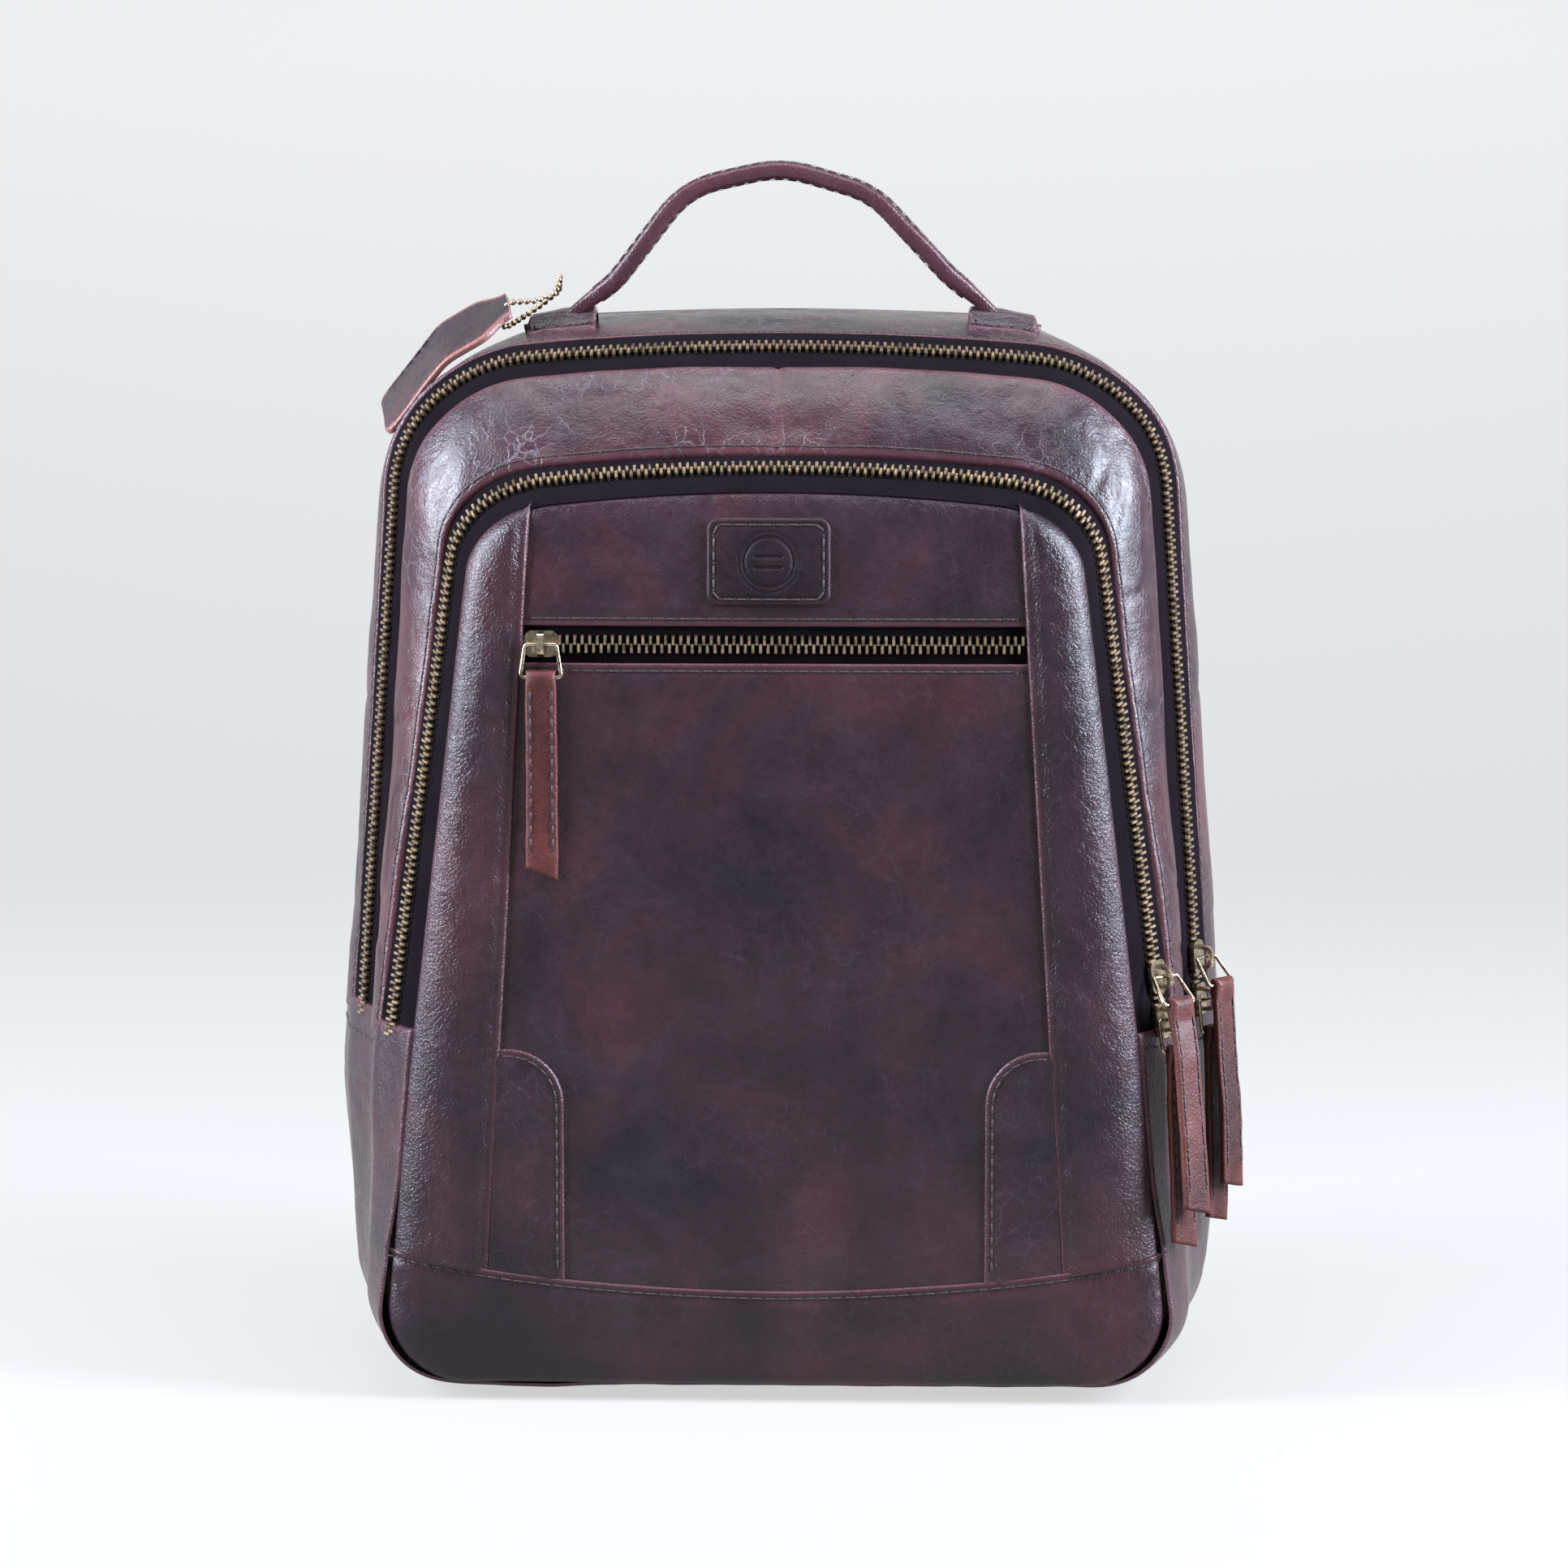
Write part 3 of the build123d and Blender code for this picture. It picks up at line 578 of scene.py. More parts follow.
BADGE_LEATHER = leather(
    "badge_leather_dark", (0.007, 0.0034, 0.006), (0.012, 0.0052, 0.0085), (0.02, 0.007, 0.010),
    (0.03, 0.02, 0.028), grain=0.8, crack=0.1, gloss=0.5, cut=(0.03, 0.012, 0.016), spec=0.12,
)
TAG_LEATHER = leather(
    "tag_leather", DEEP, MID, WARM, BLOOM_AND_SHEEN, grain=1.2, crack=0.2, warm_share=0.9, cut=(0.17, 0.070, 0.062),
)
TAPE = cloth_mat("zip_tape", (0.0042, 0.0026, 0.0042), 0.8, 1.0)
LINING = cloth_mat("lining_cloth", (0.19, 0.16, 0.135), 1.0)
WEB = cloth_mat("webbing", (0.018, 0.013, 0.017), 1.6)
BRASS = metal_mat("antique_brass", (0.60, 0.46, 0.31), (0.15, 0.105, 0.07))
BRASS_CAD = metal_mat("antique_brass_parts", (0.55, 0.45, 0.32), (0.16, 0.12, 0.085), 0.27, rested=False)
# near-black colour painted as the shade inside the needle holes
HOLE_SHADE = thread_mat("needle_hole_painted_shade", (0.0022, 0.0012, 0.0016))
THREAD = thread_mat("thread", (0.022, 0.0085, 0.011))
FOAM = cloth_mat("foam_pad", (0.1, 0.1, 0.1), 1.4, 0.95)
BOARD = cloth_mat("base_board_card", (0.05, 0.045, 0.04), 2.0, 0.8, rested=False)


# ---------------------------------------------------------------- gussets and the panel between the long zips

WEAR_WIDE = 2.2
CREASE_SCALE = 26
STITCH_PITCH = 4.9
# top edge of the lower gusset, and how far its extra rows reach over the fold
LAP_TOP = 139.0
LAP_STEPS = (5.0, 4.6, 3.6, 2.0)


def shell_grid(stations, part, step, puff, seed, edges, depth=1.3, crease=0.0, curved=False, lift=0.0):
    """A leather skin over outlines at several depths, with turned edges at its first and last outline."""
    rings = [at_depth(part(o, 2), o["y"]) for o in stations]
    run = sum(float(np.linalg.norm(a - b, axis=1).mean()) for a, b in zip(rings, rings[1:]))
    vs = graded(run, step, (edges[0] > 0, edges[1] > 0))
    grid = loft(rings, vs, curved)
    out = grid - np.array([0, grid[..., 1].mean(), MID_Z])
    out[..., 1] *= 0.2
    n = normals_of(grid, out)
    move = lift + puff * np.sin(np.pi * vs)[None, :] ** 0.6 + lumps(grid, 0.8, 0.3, seed)
    if crease:
        move = move + crease * creases(grid, CREASE_SCALE, seed) * smooth(np.sin(np.pi * vs) * 1.6)[None, :]
    wear = np.zeros(grid.shape[:2])
    for radius, along in ((edges[0], vs * run), (edges[1], run - vs * run)):
        if radius:
            move = move - roll(along, radius, depth)[None, :]
            wear += np.exp(-((along / WEAR_WIDE) ** 2))[None, :]
    return grid + n * move[..., None], n, wear, vs, run


def stitch_parts(points, normals, length=3.7, width=0.8, height=0.4):
    """Stitches along a path: short rounded bars lying on the leather."""
    s = run_along(points)
    verts, faces = [], []
    for m in np.arange(STITCH_PITCH / 2, s[-1] - 1, STITCH_PITCH):
        start, end = read_at(s, points, m - 1.6), read_at(s, points, m + 1.6)
        t = unit(end - start)
        up = read_at(s, normals, m)
        up = unit(up - t * (up @ t))
        side = np.cross(t, up)
        middle = (start + end) / 2
        k = len(verts)
        for u, w in ((-0.5, 0.25), (-0.32, 1.0), (0.32, 1.0), (0.5, 0.25)):
            for ang in np.arange(6) * math.pi / 3:
                round_off = side * math.cos(ang) * width / 2 + up * math.sin(ang) * height
                verts.append(middle + t * (u * length) + round_off * w)
        faces += [[k + v for v in face] for face in tube_faces(4, 6)]
        faces.append([k + a for a in range(5, -1, -1)])
        faces.append([k + 18 + a for a in range(6)])
    return verts, faces


def hole_shade_parts(points, normals):
    """The needle holes between the stitches: small dimples coloured near black as painted shade in the holes.
    """
    s = run_along(points)
    verts, faces = [], []
    for m in np.arange(STITCH_PITCH, s[-1] - 1, STITCH_PITCH):
        middle = read_at(s, points, m)
        up = unit(read_at(s, normals, m))
        t = read_at(s, points, m + 1) - middle
        t = unit(t - up * (t @ up))
        side = np.cross(up, t)
        k = len(verts)
        verts.append(middle + up * 0.42)
        for ang in np.arange(8) * math.pi / 4:
            verts.append(middle + 0.62 * math.cos(ang) * t + 0.55 * math.sin(ang) * side + up * 0.18)
        faces += [[k, k + 1 + a, k + 1 + (a + 1) % 8] for a in range(8)]
    return verts, faces


def put_stitches(name, paths, on, **size):
    """Stitches along paths, each a pair (points, normals), and their needle holes coloured near black as
    painted shade.
    """
    threads = join_parts([p for p in (stitch_parts(*path, **size) for path in paths) if len(p[0])])
    hole_shades = join_parts([p for p in (hole_shade_parts(*path) for path in paths) if len(p[0])])
    obj = put_mesh(name, *join_parts([threads, hole_shades]), THREAD, "leather_dark")
    obj.data.materials.append(HOLE_SHADE)
    obj.data.polygons.foreach_set("material_index", [0] * len(threads[1]) + [1] * len(hole_shades[1]))
    return attach(obj, on)


def row_of(grid, n, vs, run, distance):
    """A line along a grid, a distance in from its last edge."""
    v = (run - distance) / run
    j = int(np.clip(np.searchsorted(vs, v), 1, len(vs) - 1))
    t = (v - vs[j - 1]) / (vs[j] - vs[j - 1])
    return grid[:, j - 1] * (1 - t) + grid[:, j] * t, n[:, j]


def base_flat(grid):
    """Presses the base flat on the floor."""
    z = grid[..., 2]
    grid[..., 2] = np.where(z < 0.25, 0.25 + 0.02 * (z - 0.25), z)
    return grid


def lower_lapped(o, fine):
    """The lower outline, carried up past the fold at both ends to lap over the zips."""
    pts = lower_loop(o, fine)
    up = unit(pts[0] - pts[1])
    left = [pts[0] + up * h for h in LAP_STEPS]
    right = [np.array([-p[0], p[1]]) for p in left[::-1]]
    return np.concatenate([left, pts, right])


def make_gussets():
    stations = [BACK, BELLY, REAR_EDGE]
    grid, n, wear, vs, run = shell_grid(
        stations, upper_arch, step=3.4, puff=0.5, seed=3, edges=(0, 1.5), crease=0.5, curved=True,
    )
    rear = put_grid("rear_gusset_leather", grid, LEATHER_CREASED, "leather_dark", n, wear)
    attach(rear, "back_shell", "rear_gusset")
    put_stitches("rear_gusset_stitches", [row_of(grid, n, vs, run, 2.8)], "back_shell")
    # the lower gusset runs under the bag and laps over the ends of the zips
    stations += [MID_RIM, MID_EDGE, FRONT_EDGE]
    grid, n, wear, _, _ = shell_grid(
        stations, lower_lapped, step=3.4, puff=0.0, seed=9, edges=(0, 1.4), crease=0.35, lift=0.9,
    )
    grid = grid - n * roll(np.clip(LAP_TOP - grid[..., 2], 0, 4), 1.6, 1.4)[..., None]
    # soft folds low on the front corners
    x, y, z = np.moveaxis(grid, -1, 0)
    soft = smooth((-y - 5) / 45) * smooth((60 - np.abs(z - 30)) / 60) * smooth((np.abs(x) - 110) / 30)
    grid = grid + n * (soft * (3.2 + noise(grid, 22, 31)))[..., None]
    wear = wear + np.exp(-(((LAP_TOP - grid[..., 2]) / WEAR_WIDE) ** 2))
    grid = base_flat(grid)
    low = put_grid("lower_gusset_leather", grid, LEATHER_PEBBLED, "leather_dark", n, wear)
    attach(low, "back_shell", "lower_gusset_left", "lower_gusset_right")
    # a row of stitches just under the fold at each end
    ends = [(grid[row][6:-2], n[row][6:-2]) for row in (6, -7)]
    put_stitches("gusset_lap_stitches", ends, "back_shell")
    # panel between the two long zips
    stations = [MID_RIM, MID_EDGE]
    grid, n, wear, vs, run = shell_grid(
        stations, upper_arch, step=2.2, puff=3.0, seed=21, edges=(1.6, 1.6), depth=1.5, crease=0.75,
    )
    seam = np.exp(-((np.abs(grid[..., 0]) / 1.5) ** 2))
    grid = grid - n * (0.9 * seam)[..., None]
    wear = wear + 0.5 * seam
    mid = put_grid("mid_panel_leather", grid, LEATHER_CREASED, "leather_dark", n, wear)
    attach(mid, REAR_FOLD, "mid_panel")
    put_stitches("mid_panel_stitches", [row_of(grid, n, vs, run, 3.0)], REAR_FOLD)


# ---------------------------------------------------------------- zips

TAPE_SINK = 0.6
# each long tape: the outlines it lies between, the depths of its two edges, and what it is sewn to
TAPES = {
    "main_tape_rear": (REAR_EDGE, MID_RIM, 7.5, -4.8, "back_shell"),
    "main_tape_front": (REAR_EDGE, MID_RIM, -6.2, -18.5, REAR_FOLD),
    "front_tape_rear": (MID_EDGE, FRONT_EDGE, -39.5, -47.7, REAR_FOLD),
    "front_tape_front": (MID_EDGE, FRONT_EDGE, -49.1, -60.5, FRONT_FOLD),
}
TOOTH_PITCH, TOOTH_START, TOOTH_PROUD = 2.75, 0.8, 0.9
TOOTH_DEEP, TOOTH_WIDE, TOOTH_HIGH = 3.7, 1.3, 2.2


def tape_grid(node, near, far, y_near, y_far, on):
    """One tape of a long zip, from depth y_near to y_far between two outlines."""
    outlines = [grow(mix(near, far, y), -TAPE_SINK) for y in (y_near, y_far)]
    shares = np.linspace(0, 1, 7)
    grid = loft([at_depth(upper_arch(o, 2), o["y"]) for o in outlines], shares)
    n = normals_of(grid, grid - np.array([0, -20.0, MID_Z]))
    swell = 0.5 * np.sin(shares * np.pi)
    grid = grid + n * (swell[None, :] + 0.12 * noise(grid, 9, 77))[..., None]
    attach(put_grid(f"{node}_cloth", grid, TAPE, "zip_tape", n), on, node)


def tooth(across, travel, out, at):
    """One cast tooth: a rounded block with a knob on its tip. across points from the tape to the slit."""
    verts = []
    for wide, high in ((0.9, -0.9), (0.9, 0.45), (0.7, 1.0)):
        inset = 0.28 if high > 0.9 else 0.0
        for a, b in ((-1, -1), (1, -1), (1, 1), (-1, 1)):
            u = a * (TOOTH_DEEP / 2 - inset) + TOOTH_DEEP / 2 - 0.4
            along, rise = travel * (b * TOOTH_WIDE / 2 * wide), out * (high * TOOTH_HIGH / 2)
            verts.append(at - across * u + along + rise)
    return verts, [[3, 2, 1, 0], [8, 9, 10, 11]] + tube_faces(3, 4)


def chain_rows(curve, front, out):
    """Rear and front row of teeth along a curve; front points to the side of the front row."""
    s = run_along(curve)
    rows = []
    for side, start in ((1, TOOTH_START), (-1, TOOTH_START + TOOTH_PITCH / 2)):
        parts = []
        for m in np.arange(start, s[-1] - 1, TOOTH_PITCH):
            f, o = unit(read_at(s, front, m)), unit(read_at(s, out, m))
            parts.append(tooth(f * side, np.cross(f, o), o, read_at(s, curve, m) + o * TOOTH_PROUD))
        rows.append(join_parts(parts))
    return rows


def zip_curve(rear, front, y):
    """A long zip's line, with the directions to its front edge and out of the bag."""
    curve, ahead = (at_depth(upper_arch(mix(rear, front, depth), 2), depth) for depth in (y, y - 4))
    out = unit(np.cross(np.gradient(curve, axis=0), ahead - curve))
    sign = np.sign(((curve - np.array([0, y, MID_Z])) * out).sum(1).mean())
    return curve, unit(ahead - curve), out * sign


def make_long_zips():
    for node, sewn in TAPES.items():
        tape_grid(node, *sewn)
    for word, curve, holders in (
        ("main", zip_curve(REAR_EDGE, MID_RIM, MAIN_Y), ("back_shell", REAR_FOLD)),
        ("front", zip_curve(MID_EDGE, FRONT_EDGE, FRONT_Y), (REAR_FOLD, FRONT_FOLD)),
    ):
        for half, row, on in zip(("rear", "front"), chain_rows(*curve), holders):
            teeth = put_mesh(f"{word}_teeth_{half}_row", *row, BRASS, "antique_brass", soft=False)
            attach(teeth, on, f"{word}_teeth_{half}")


# ---------------------------------------------------------------- the front

OUTLINE = whole_ring(FRONT_EDGE)
# the front's leather: its depth, how far it bulges, and how its edge drops to the zip
FACE_Y, CROWN, DROP_WIDE, DROP = 63.9, 2.6, 12.0, 4.6
# the middle panels: half width at the top, how much wider they are at the foot, and their height
PANEL_X, PANEL_Z, PANEL_FLARE, PANEL_TALL = 88.0, 336.0, 17.5, 291.0
# the bottom band's top edge: its lowest height, and how far it rises at a distance from the middle
BAND_LOW, BAND_RISE, BAND_HALF, BAND_END = 43.0, 19.0, 166.0, 145.2
# how far panels lie over the leather of the front, where their seams run and their stitches sit
SEAM_LAP, BAND_LAP, PATCH_LAP, BADGE_LAP = 0.9, 1.3, 1.15, 1.5
SEAM_TOP, SEAM_FOOT_X = 333.6, 104
SEAM_STITCH, POCKET_STITCH = 3.0, 2.8
STRIP_PILLOW = 2.6
BAND_SEED = 47
PATCH_X, PATCH_Z, PATCH_R, PATCH_STITCH_R = 97, 113, 20, 17.2


def outline_distance(x, z):
    """How far points of the front are from its outline."""
    pts = np.stack([np.ravel(x), np.ravel(z)], -1)
    return distance_to(np.concatenate([OUTLINE, OUTLINE[:1]]), pts).reshape(np.shape(x))


def front_y(x, z, seed=41):
    """How far in front (y, negative) the leather of the front lies."""
    d = outline_distance(x, z)
    p = np.stack([x, np.full(np.shape(x), -64.0), z], -1)
    soft = CROWN * smooth(d / 60) - 1.3 * (1 - smooth(d / 34))
    uneven = lumps(p, 0.55, 0.3, seed) * smooth(d / 12)
    return -(FACE_Y + soft - roll(d, DROP_WIDE, DROP) + uneven)


def seam_x(z):
    """Half the width of the middle panels at height z."""
    return PANEL_X + PANEL_FLARE * (PANEL_Z - z) / PANEL_TALL


def band_z(x):
    """Height of the bottom band's curved top edge."""
    r = (BAND_HALF**2 + BAND_RISE**2) / (2 * BAND_RISE)
    return BAND_LOW + r - np.sqrt(r * r - np.asarray(x, float) ** 2)


def patch(curve_a, curve_b, step=2.2):
    """Flat (x, z) grid between two curves with the same number of points."""
    a, b = np.asarray(curve_a, float), np.asarray(curve_b, float)
    run = float(np.linalg.norm(a - b, axis=1).max())
    vs = graded(run, step)
    v = vs[None, :, None]
    return a[:, None] * (1 - v) + b[:, None] * v


def put_front(name, flat, material, on, lap=0.0, fold=None, groove=None, nodes=(), pillow=0.0, seed=41):
    """A panel of the front: its edge is turned along fold, and stitches pull it in along groove."""
    x, z = flat[..., 0], flat[..., 1]
    y = front_y(x, z, seed) - lap
    if pillow:
        wide = np.linalg.norm(flat[:, -1] - flat[:, 0], axis=1)[:, None]
        share = np.linalg.norm(flat - flat[:, :1], axis=-1) / np.maximum(wide, 1e-6)
        y = y - pillow * smooth(wide / 18) * np.sin(np.pi * np.clip(share, 0, 1)) ** 0.9
    wear = np.zeros(np.shape(x))
    pts = np.stack([x.ravel(), z.ravel()], -1)
    if fold is not None:
        d = distance_to(fold, pts).reshape(np.shape(x))
        y = y + roll(d, 1.3, 1.1 + lap)
        wear = wear + np.exp(-((d / 2.0) ** 2))
    if groove is not None:
        d = distance_to(groove, pts).reshape(np.shape(x))
        y = y + 0.4 * np.exp(-((d / 1.5) ** 2)) - 0.25 * np.exp(-(((d - 3.6) / 2.2) ** 2))
    grid = np.stack([x, y, z], -1)
    return attach(put_grid(name, grid, material, "leather_dark", FORWARD, wear), on, *nodes)


def on_front(path, lap=0.0, seed=41, sink=0.25, step=1.5):
    """A flat (x, z) path laid on the front's leather, with its normals."""
    path = np.asarray(path, float)
    path = resample(path, np.linspace(0, 1, max(4, int(length_of(path) / step))))
    x, z = path[:, 0], path[:, 1]
    y = front_y(x, z, seed) - lap + sink
    e = 1.0
    dx = (front_y(x + e, z, seed) - front_y(x - e, z, seed)) / (2 * e)
    dz = (front_y(x, z + e, seed) - front_y(x, z - e, seed)) / (2 * e)
    n = np.stack([dx, -np.ones(len(x)), dz], -1)
    return np.stack([x, y, z], -1), unit(n)


def outline_above_fold(side):
    """The outline on one side, from the fold up to where the middle panels begin."""
    pts, _ = ring_half(FRONT_EDGE, 2)
    run = pts[(pts[:, 1] >= FOLD_Z) & (pts[:, 0] >= PANEL_X)]
    rising = pts[40:140]
    start = np.array([np.interp(FOLD_Z, rising[:, 1], rising[:, 0]), FOLD_Z])
    return np.concatenate([[start], run]) * np.array([side, 1.0])


def make_front():
    make_side_strips()
    make_middle_panels()
    make_bottom_band()
    make_front_stitches()
    make_corner_patches()
    make_badge()
    make_pocket_zip()


def make_side_strips():
    """The strips beside the middle panels: the upper ones above the fold are baked in place, their skirts
    stay on the back shell.
    """
    shares = np.linspace(0, 1, 121)
    top, fold = (seam_x(SEAM_TOP), SEAM_TOP), (seam_x(FOLD_Z), FOLD_Z)
    foot = (seam_x(band_z(SEAM_FOOT_X)), float(band_z(SEAM_FOOT_X)) - 2)
    low_z = float(band_z(140)) - 2
    lower = [p for p in ring_half(FRONT_EDGE, 2)[0] if low_z <= p[1] < FOLD_Z and p[0] > 120]
    lower = np.concatenate([lower, [outline_above_fold(1)[0]]])
    for side, word in SIDES:
        flip = np.array([side, 1.0])
        groove = np.array([SEAM_STITCH * side, 0])
        seam = resample([fold, top], shares) * flip
        edge = resample(outline_above_fold(side), shares)
        put_front(
            f"side_strip_{word}_leather", patch(seam, edge), LEATHER_PEBBLED, FRONT_FOLD, SEAM_LAP,
            seam, seam + groove, (f"side_strip_{word}",), STRIP_PILLOW,
        )
        seam = resample([foot, fold], shares[::2]) * flip
        put_front(
            f"strip_skirt_{word}_leather", patch(seam, resample(lower * flip, shares[::2])), LEATHER_PEBBLED,
            "back_shell", SEAM_LAP, seam, seam + groove, ("strip_skirts",) if side > 0 else (), STRIP_PILLOW,
        )


def make_middle_panels():
    us = np.linspace(-1, 1, 97)
    pts = ring_half(FRONT_EDGE, 2)[0][::-1][:52]
    top = np.array([(u * 88.6, 0) for u in us])
    top[:, 1] = [float(np.interp(abs(x), pts[:, 0], pts[:, 1])) for x in top[:, 0]]
    pocket_top, pocket_low, fold = (
        np.array([(u * (seam_x(z) + 1), z) for u in us]) for z in (POCKET_TOP, POCKET_LOW, FOLD_Z)
    )
    under = np.array([(u * 106, float(band_z(u * 106)) - 2) for u in us])
    groove = np.array([0, POCKET_STITCH])
    put_front(
        "upper_panel_leather", patch(pocket_top, top), LEATHER, FRONT_FOLD, 0,
        pocket_top, pocket_top + groove, ("upper_panel",),
    )
    put_front(
        "pocket_panel_leather", patch(fold, pocket_low), LEATHER, FRONT_FOLD, 0,
        pocket_low, pocket_low - groove, ("pocket_panel",),
    )
    put_front("pocket_skirt_leather", patch(under, fold), LEATHER, "back_shell", nodes=("pocket_skirt",))


def make_bottom_band():
    pts, _ = ring_half(FRONT_EDGE, 2)
    xs = np.linspace(-1, 1, 181)
    lower = np.array([p for p in pts if p[1] <= band_z(min(p[0], 146)) and p[0] > 1])
    half = np.concatenate([[(0, pts[0, 1])], lower])
    low = resample(np.concatenate([mirrored(half)[::-1], half[1:]]), (xs + 1) / 2)
    high = np.array([(u * BAND_END, float(band_z(u * BAND_END))) for u in xs])
    put_front(
        "bottom_band_leather", patch(low, high), LEATHER, "back_shell", BAND_LAP,
        high, high - np.array([0, SEAM_STITCH]), ("bottom_band",), seed=BAND_SEED,
    )


def make_front_stitches():
    upper, lower = [], []
    fold, foot = (seam_x(FOLD_Z), FOLD_Z), float(band_z(SEAM_FOOT_X))
    for side, _ in SIDES:
        flip = np.array([side, 1.0])
        shift = np.array([SEAM_STITCH, 0])
        upper.append(on_front((np.array([fold, (seam_x(330), 330)]) + shift) * flip, SEAM_LAP))
        lower.append(on_front((np.array([(seam_x(foot), foot + 2), fold]) + shift) * flip, SEAM_LAP))
    for z in (POCKET_TOP + POCKET_STITCH, POCKET_LOW - POCKET_STITCH):
        upper.append(on_front([(-seam_x(z) + 2, z), (seam_x(z) - 2, z)]))
    xs = np.linspace(-143, 143, 80)
    lower.append(on_front(np.stack([xs, band_z(xs) - SEAM_STITCH], -1), BAND_LAP, BAND_SEED))
    put_stitches("front_flap_stitches", upper, FRONT_FOLD)
    put_stitches("front_low_stitches", lower, "back_shell")


def patch_arc(radius):
    """The round inner corner of the patch on the right, from its top to its side."""
    turn = np.linspace(0, math.pi / 2, 14)
    return [(PATCH_X - radius * math.sin(a), PATCH_Z + radius * math.cos(a)) for a in turn]


def make_corner_patches():
    parts, paths = [], []
    shares = np.linspace(0, 1, 80)
    for side, word in SIDES:
        flip = np.array([side, 1.0])
        inner = np.array([(seam_x(133) + 1, 133)] + patch_arc(PATCH_R) + [(77, band_z(77) - 2)]) * flip
        outer = np.array([(seam_x(133) + 1, 132.9), (seam_x(60) + 1, band_z(SEAM_FOOT_X) - 2)]) * flip
        parts.append(put_front(
            f"corner_patch_{word}_leather", patch(resample(inner, shares), resample(outer, shares)),
            LEATHER_PEBBLED, "back_shell", PATCH_LAP, inner, inner + np.array([2.6 * side, -1.6]),
        ))
        stitches = np.array([(seam_x(133), 130.2)] + patch_arc(PATCH_STITCH_R) + [(79.8, band_z(80) + 2)])
        paths.append(on_front(stitches * flip, PATCH_LAP))
    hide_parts("corner_patches")
    put_stitches("corner_patch_stitches", paths, "back_shell")


def rounded_rectangle(w, h, r, n=10):
    """A closed loop of (x, z) points round a rectangle with round corners."""
    pts = []
    for k, (sx, sz) in enumerate(((1, 1), (-1, 1), (-1, -1), (1, -1))):
        for a in np.radians(np.linspace(90 * k, 90 * k + 90, n)):
            pts.append((sx * (w / 2 - r) + r * math.cos(a), sz * (h / 2 - r) + r * math.sin(a)))
    return np.array(pts + pts[:1])


def rounded_plate(w, h, r, nx, nz):
    """A grid squeezed into a rectangle with round corners, and each point's distance from its edge."""
    x, z = np.meshgrid(np.linspace(-w / 2, w / 2, nx), np.linspace(-h / 2, h / 2, nz), indexing="ij")
    ax, az = np.abs(x) - (w / 2 - r), np.abs(z) - (h / 2 - r)
    corner = (ax > 0) & (az > 0)
    q = np.maximum(np.maximum(ax, az), 1e-6) / np.maximum(np.hypot(ax, az), 1e-6)
    x = np.where(corner, np.sign(x) * (w / 2 - r + ax * q), x)
    z = np.where(corner, np.sign(z) * (h / 2 - r + az * q), z)
    ax, az = np.abs(x) - (w / 2 - r), np.abs(z) - (h / 2 - r)
    return x, z, r - np.where((ax > 0) & (az > 0), np.hypot(ax, az), np.maximum(ax, az))


def make_badge():
    """A plain stitched leather badge with a pressed ring and two bars."""
    lo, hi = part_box("badge")
    cx, cz = (lo.x + hi.x) / 2 / MM, (lo.z + hi.z) / 2 / MM
    w, h = (hi.x - lo.x) / MM, (hi.z - lo.z) / MM
    x, z, d = rounded_plate(w, h, 4.5, 111, 81)
    rad = np.hypot(x, z)
    pressed = 0.55 * np.exp(-(((rad - 9.0) / 0.75) ** 2)) + 0.3 * np.exp(-(((rad - 10.9) / 0.5) ** 2))
    for bar in (-2.0, 2.0):
        pressed = pressed + 0.55 * smooth((5.6 - np.abs(x)) / 0.8) * smooth((0.9 - np.abs(z - bar)) / 0.7)
    seam = 0.3 * np.exp(-(((d - 2.6) / 1.0) ** 2))
    y = front_y(x + cx, z + cz) - BADGE_LAP + roll(d, 1.2, 1.9) + pressed + seam
    grid = np.stack([x + cx, y, z + cz], -1)
    wear = np.exp(-((d / 1.1) ** 2))
    badge = put_grid("badge_leather", grid, BADGE_LEATHER, "leather_dark", FORWARD, wear)
    attach(badge, FRONT_FOLD, "badge")
    loop = rounded_rectangle(w - 5.2, h - 5.2, 2.6) + np.array([cx, cz])
    put_stitches("badge_stitches", [on_front(loop, BADGE_LAP)], FRONT_FOLD)


def make_pocket_zip():
    """The short zip in its window: two tapes and two rows of teeth."""
    half = seam_x(POCKET_Z) + 1
    xs = np.linspace(-half, half, 120)
    spans = {"upper": (POCKET_Z + 0.4, POCKET_TOP + 2), "lower": (POCKET_LOW - 2, POCKET_Z - 0.4)}
    for word, span in spans.items():
        x, z = np.meshgrid(xs, np.linspace(*span, 7), indexing="ij")
        y = front_y(x, z) + POCKET_ZIP_DEEP - 0.25 * np.exp(-(((np.abs(z - POCKET_Z) - 4.6) / 0.9) ** 2))
        tape = put_grid(f"pocket_tape_{word}_cloth", np.stack([x, y, z], -1), TAPE, "zip_tape", FORWARD)
        attach(tape, FRONT_FOLD, *(["pocket_tape"] if word == "upper" else []))
    z = np.full(len(xs), POCKET_Z)
    curve = np.stack([xs, front_y(xs, z) + POCKET_ZIP_DEEP, z], -1)
    down, out = (np.tile(v, (len(xs), 1)) for v in (np.array([0, 0, -1.0]), FORWARD))
    for word, row in zip(spans, chain_rows(curve, down, out)):
        teeth = put_mesh(f"pocket_teeth_{word}_row", *row, BRASS, "antique_brass", soft=False)
        attach(teeth, FRONT_FOLD, *(["pocket_teeth"] if word == "upper" else []))


# ---------------------------------------------------------------- bands: handle, pulls, tag

HANDLE_RISE = [
    (-97, 390.6), (-83, 394.2), (-63, 409), (-36, 444), (0, 452),
    (34, 442), (62, 412), (83, 394.2), (97, 390.6),
]
HANDLE_Y, TAB_X = 30, 83
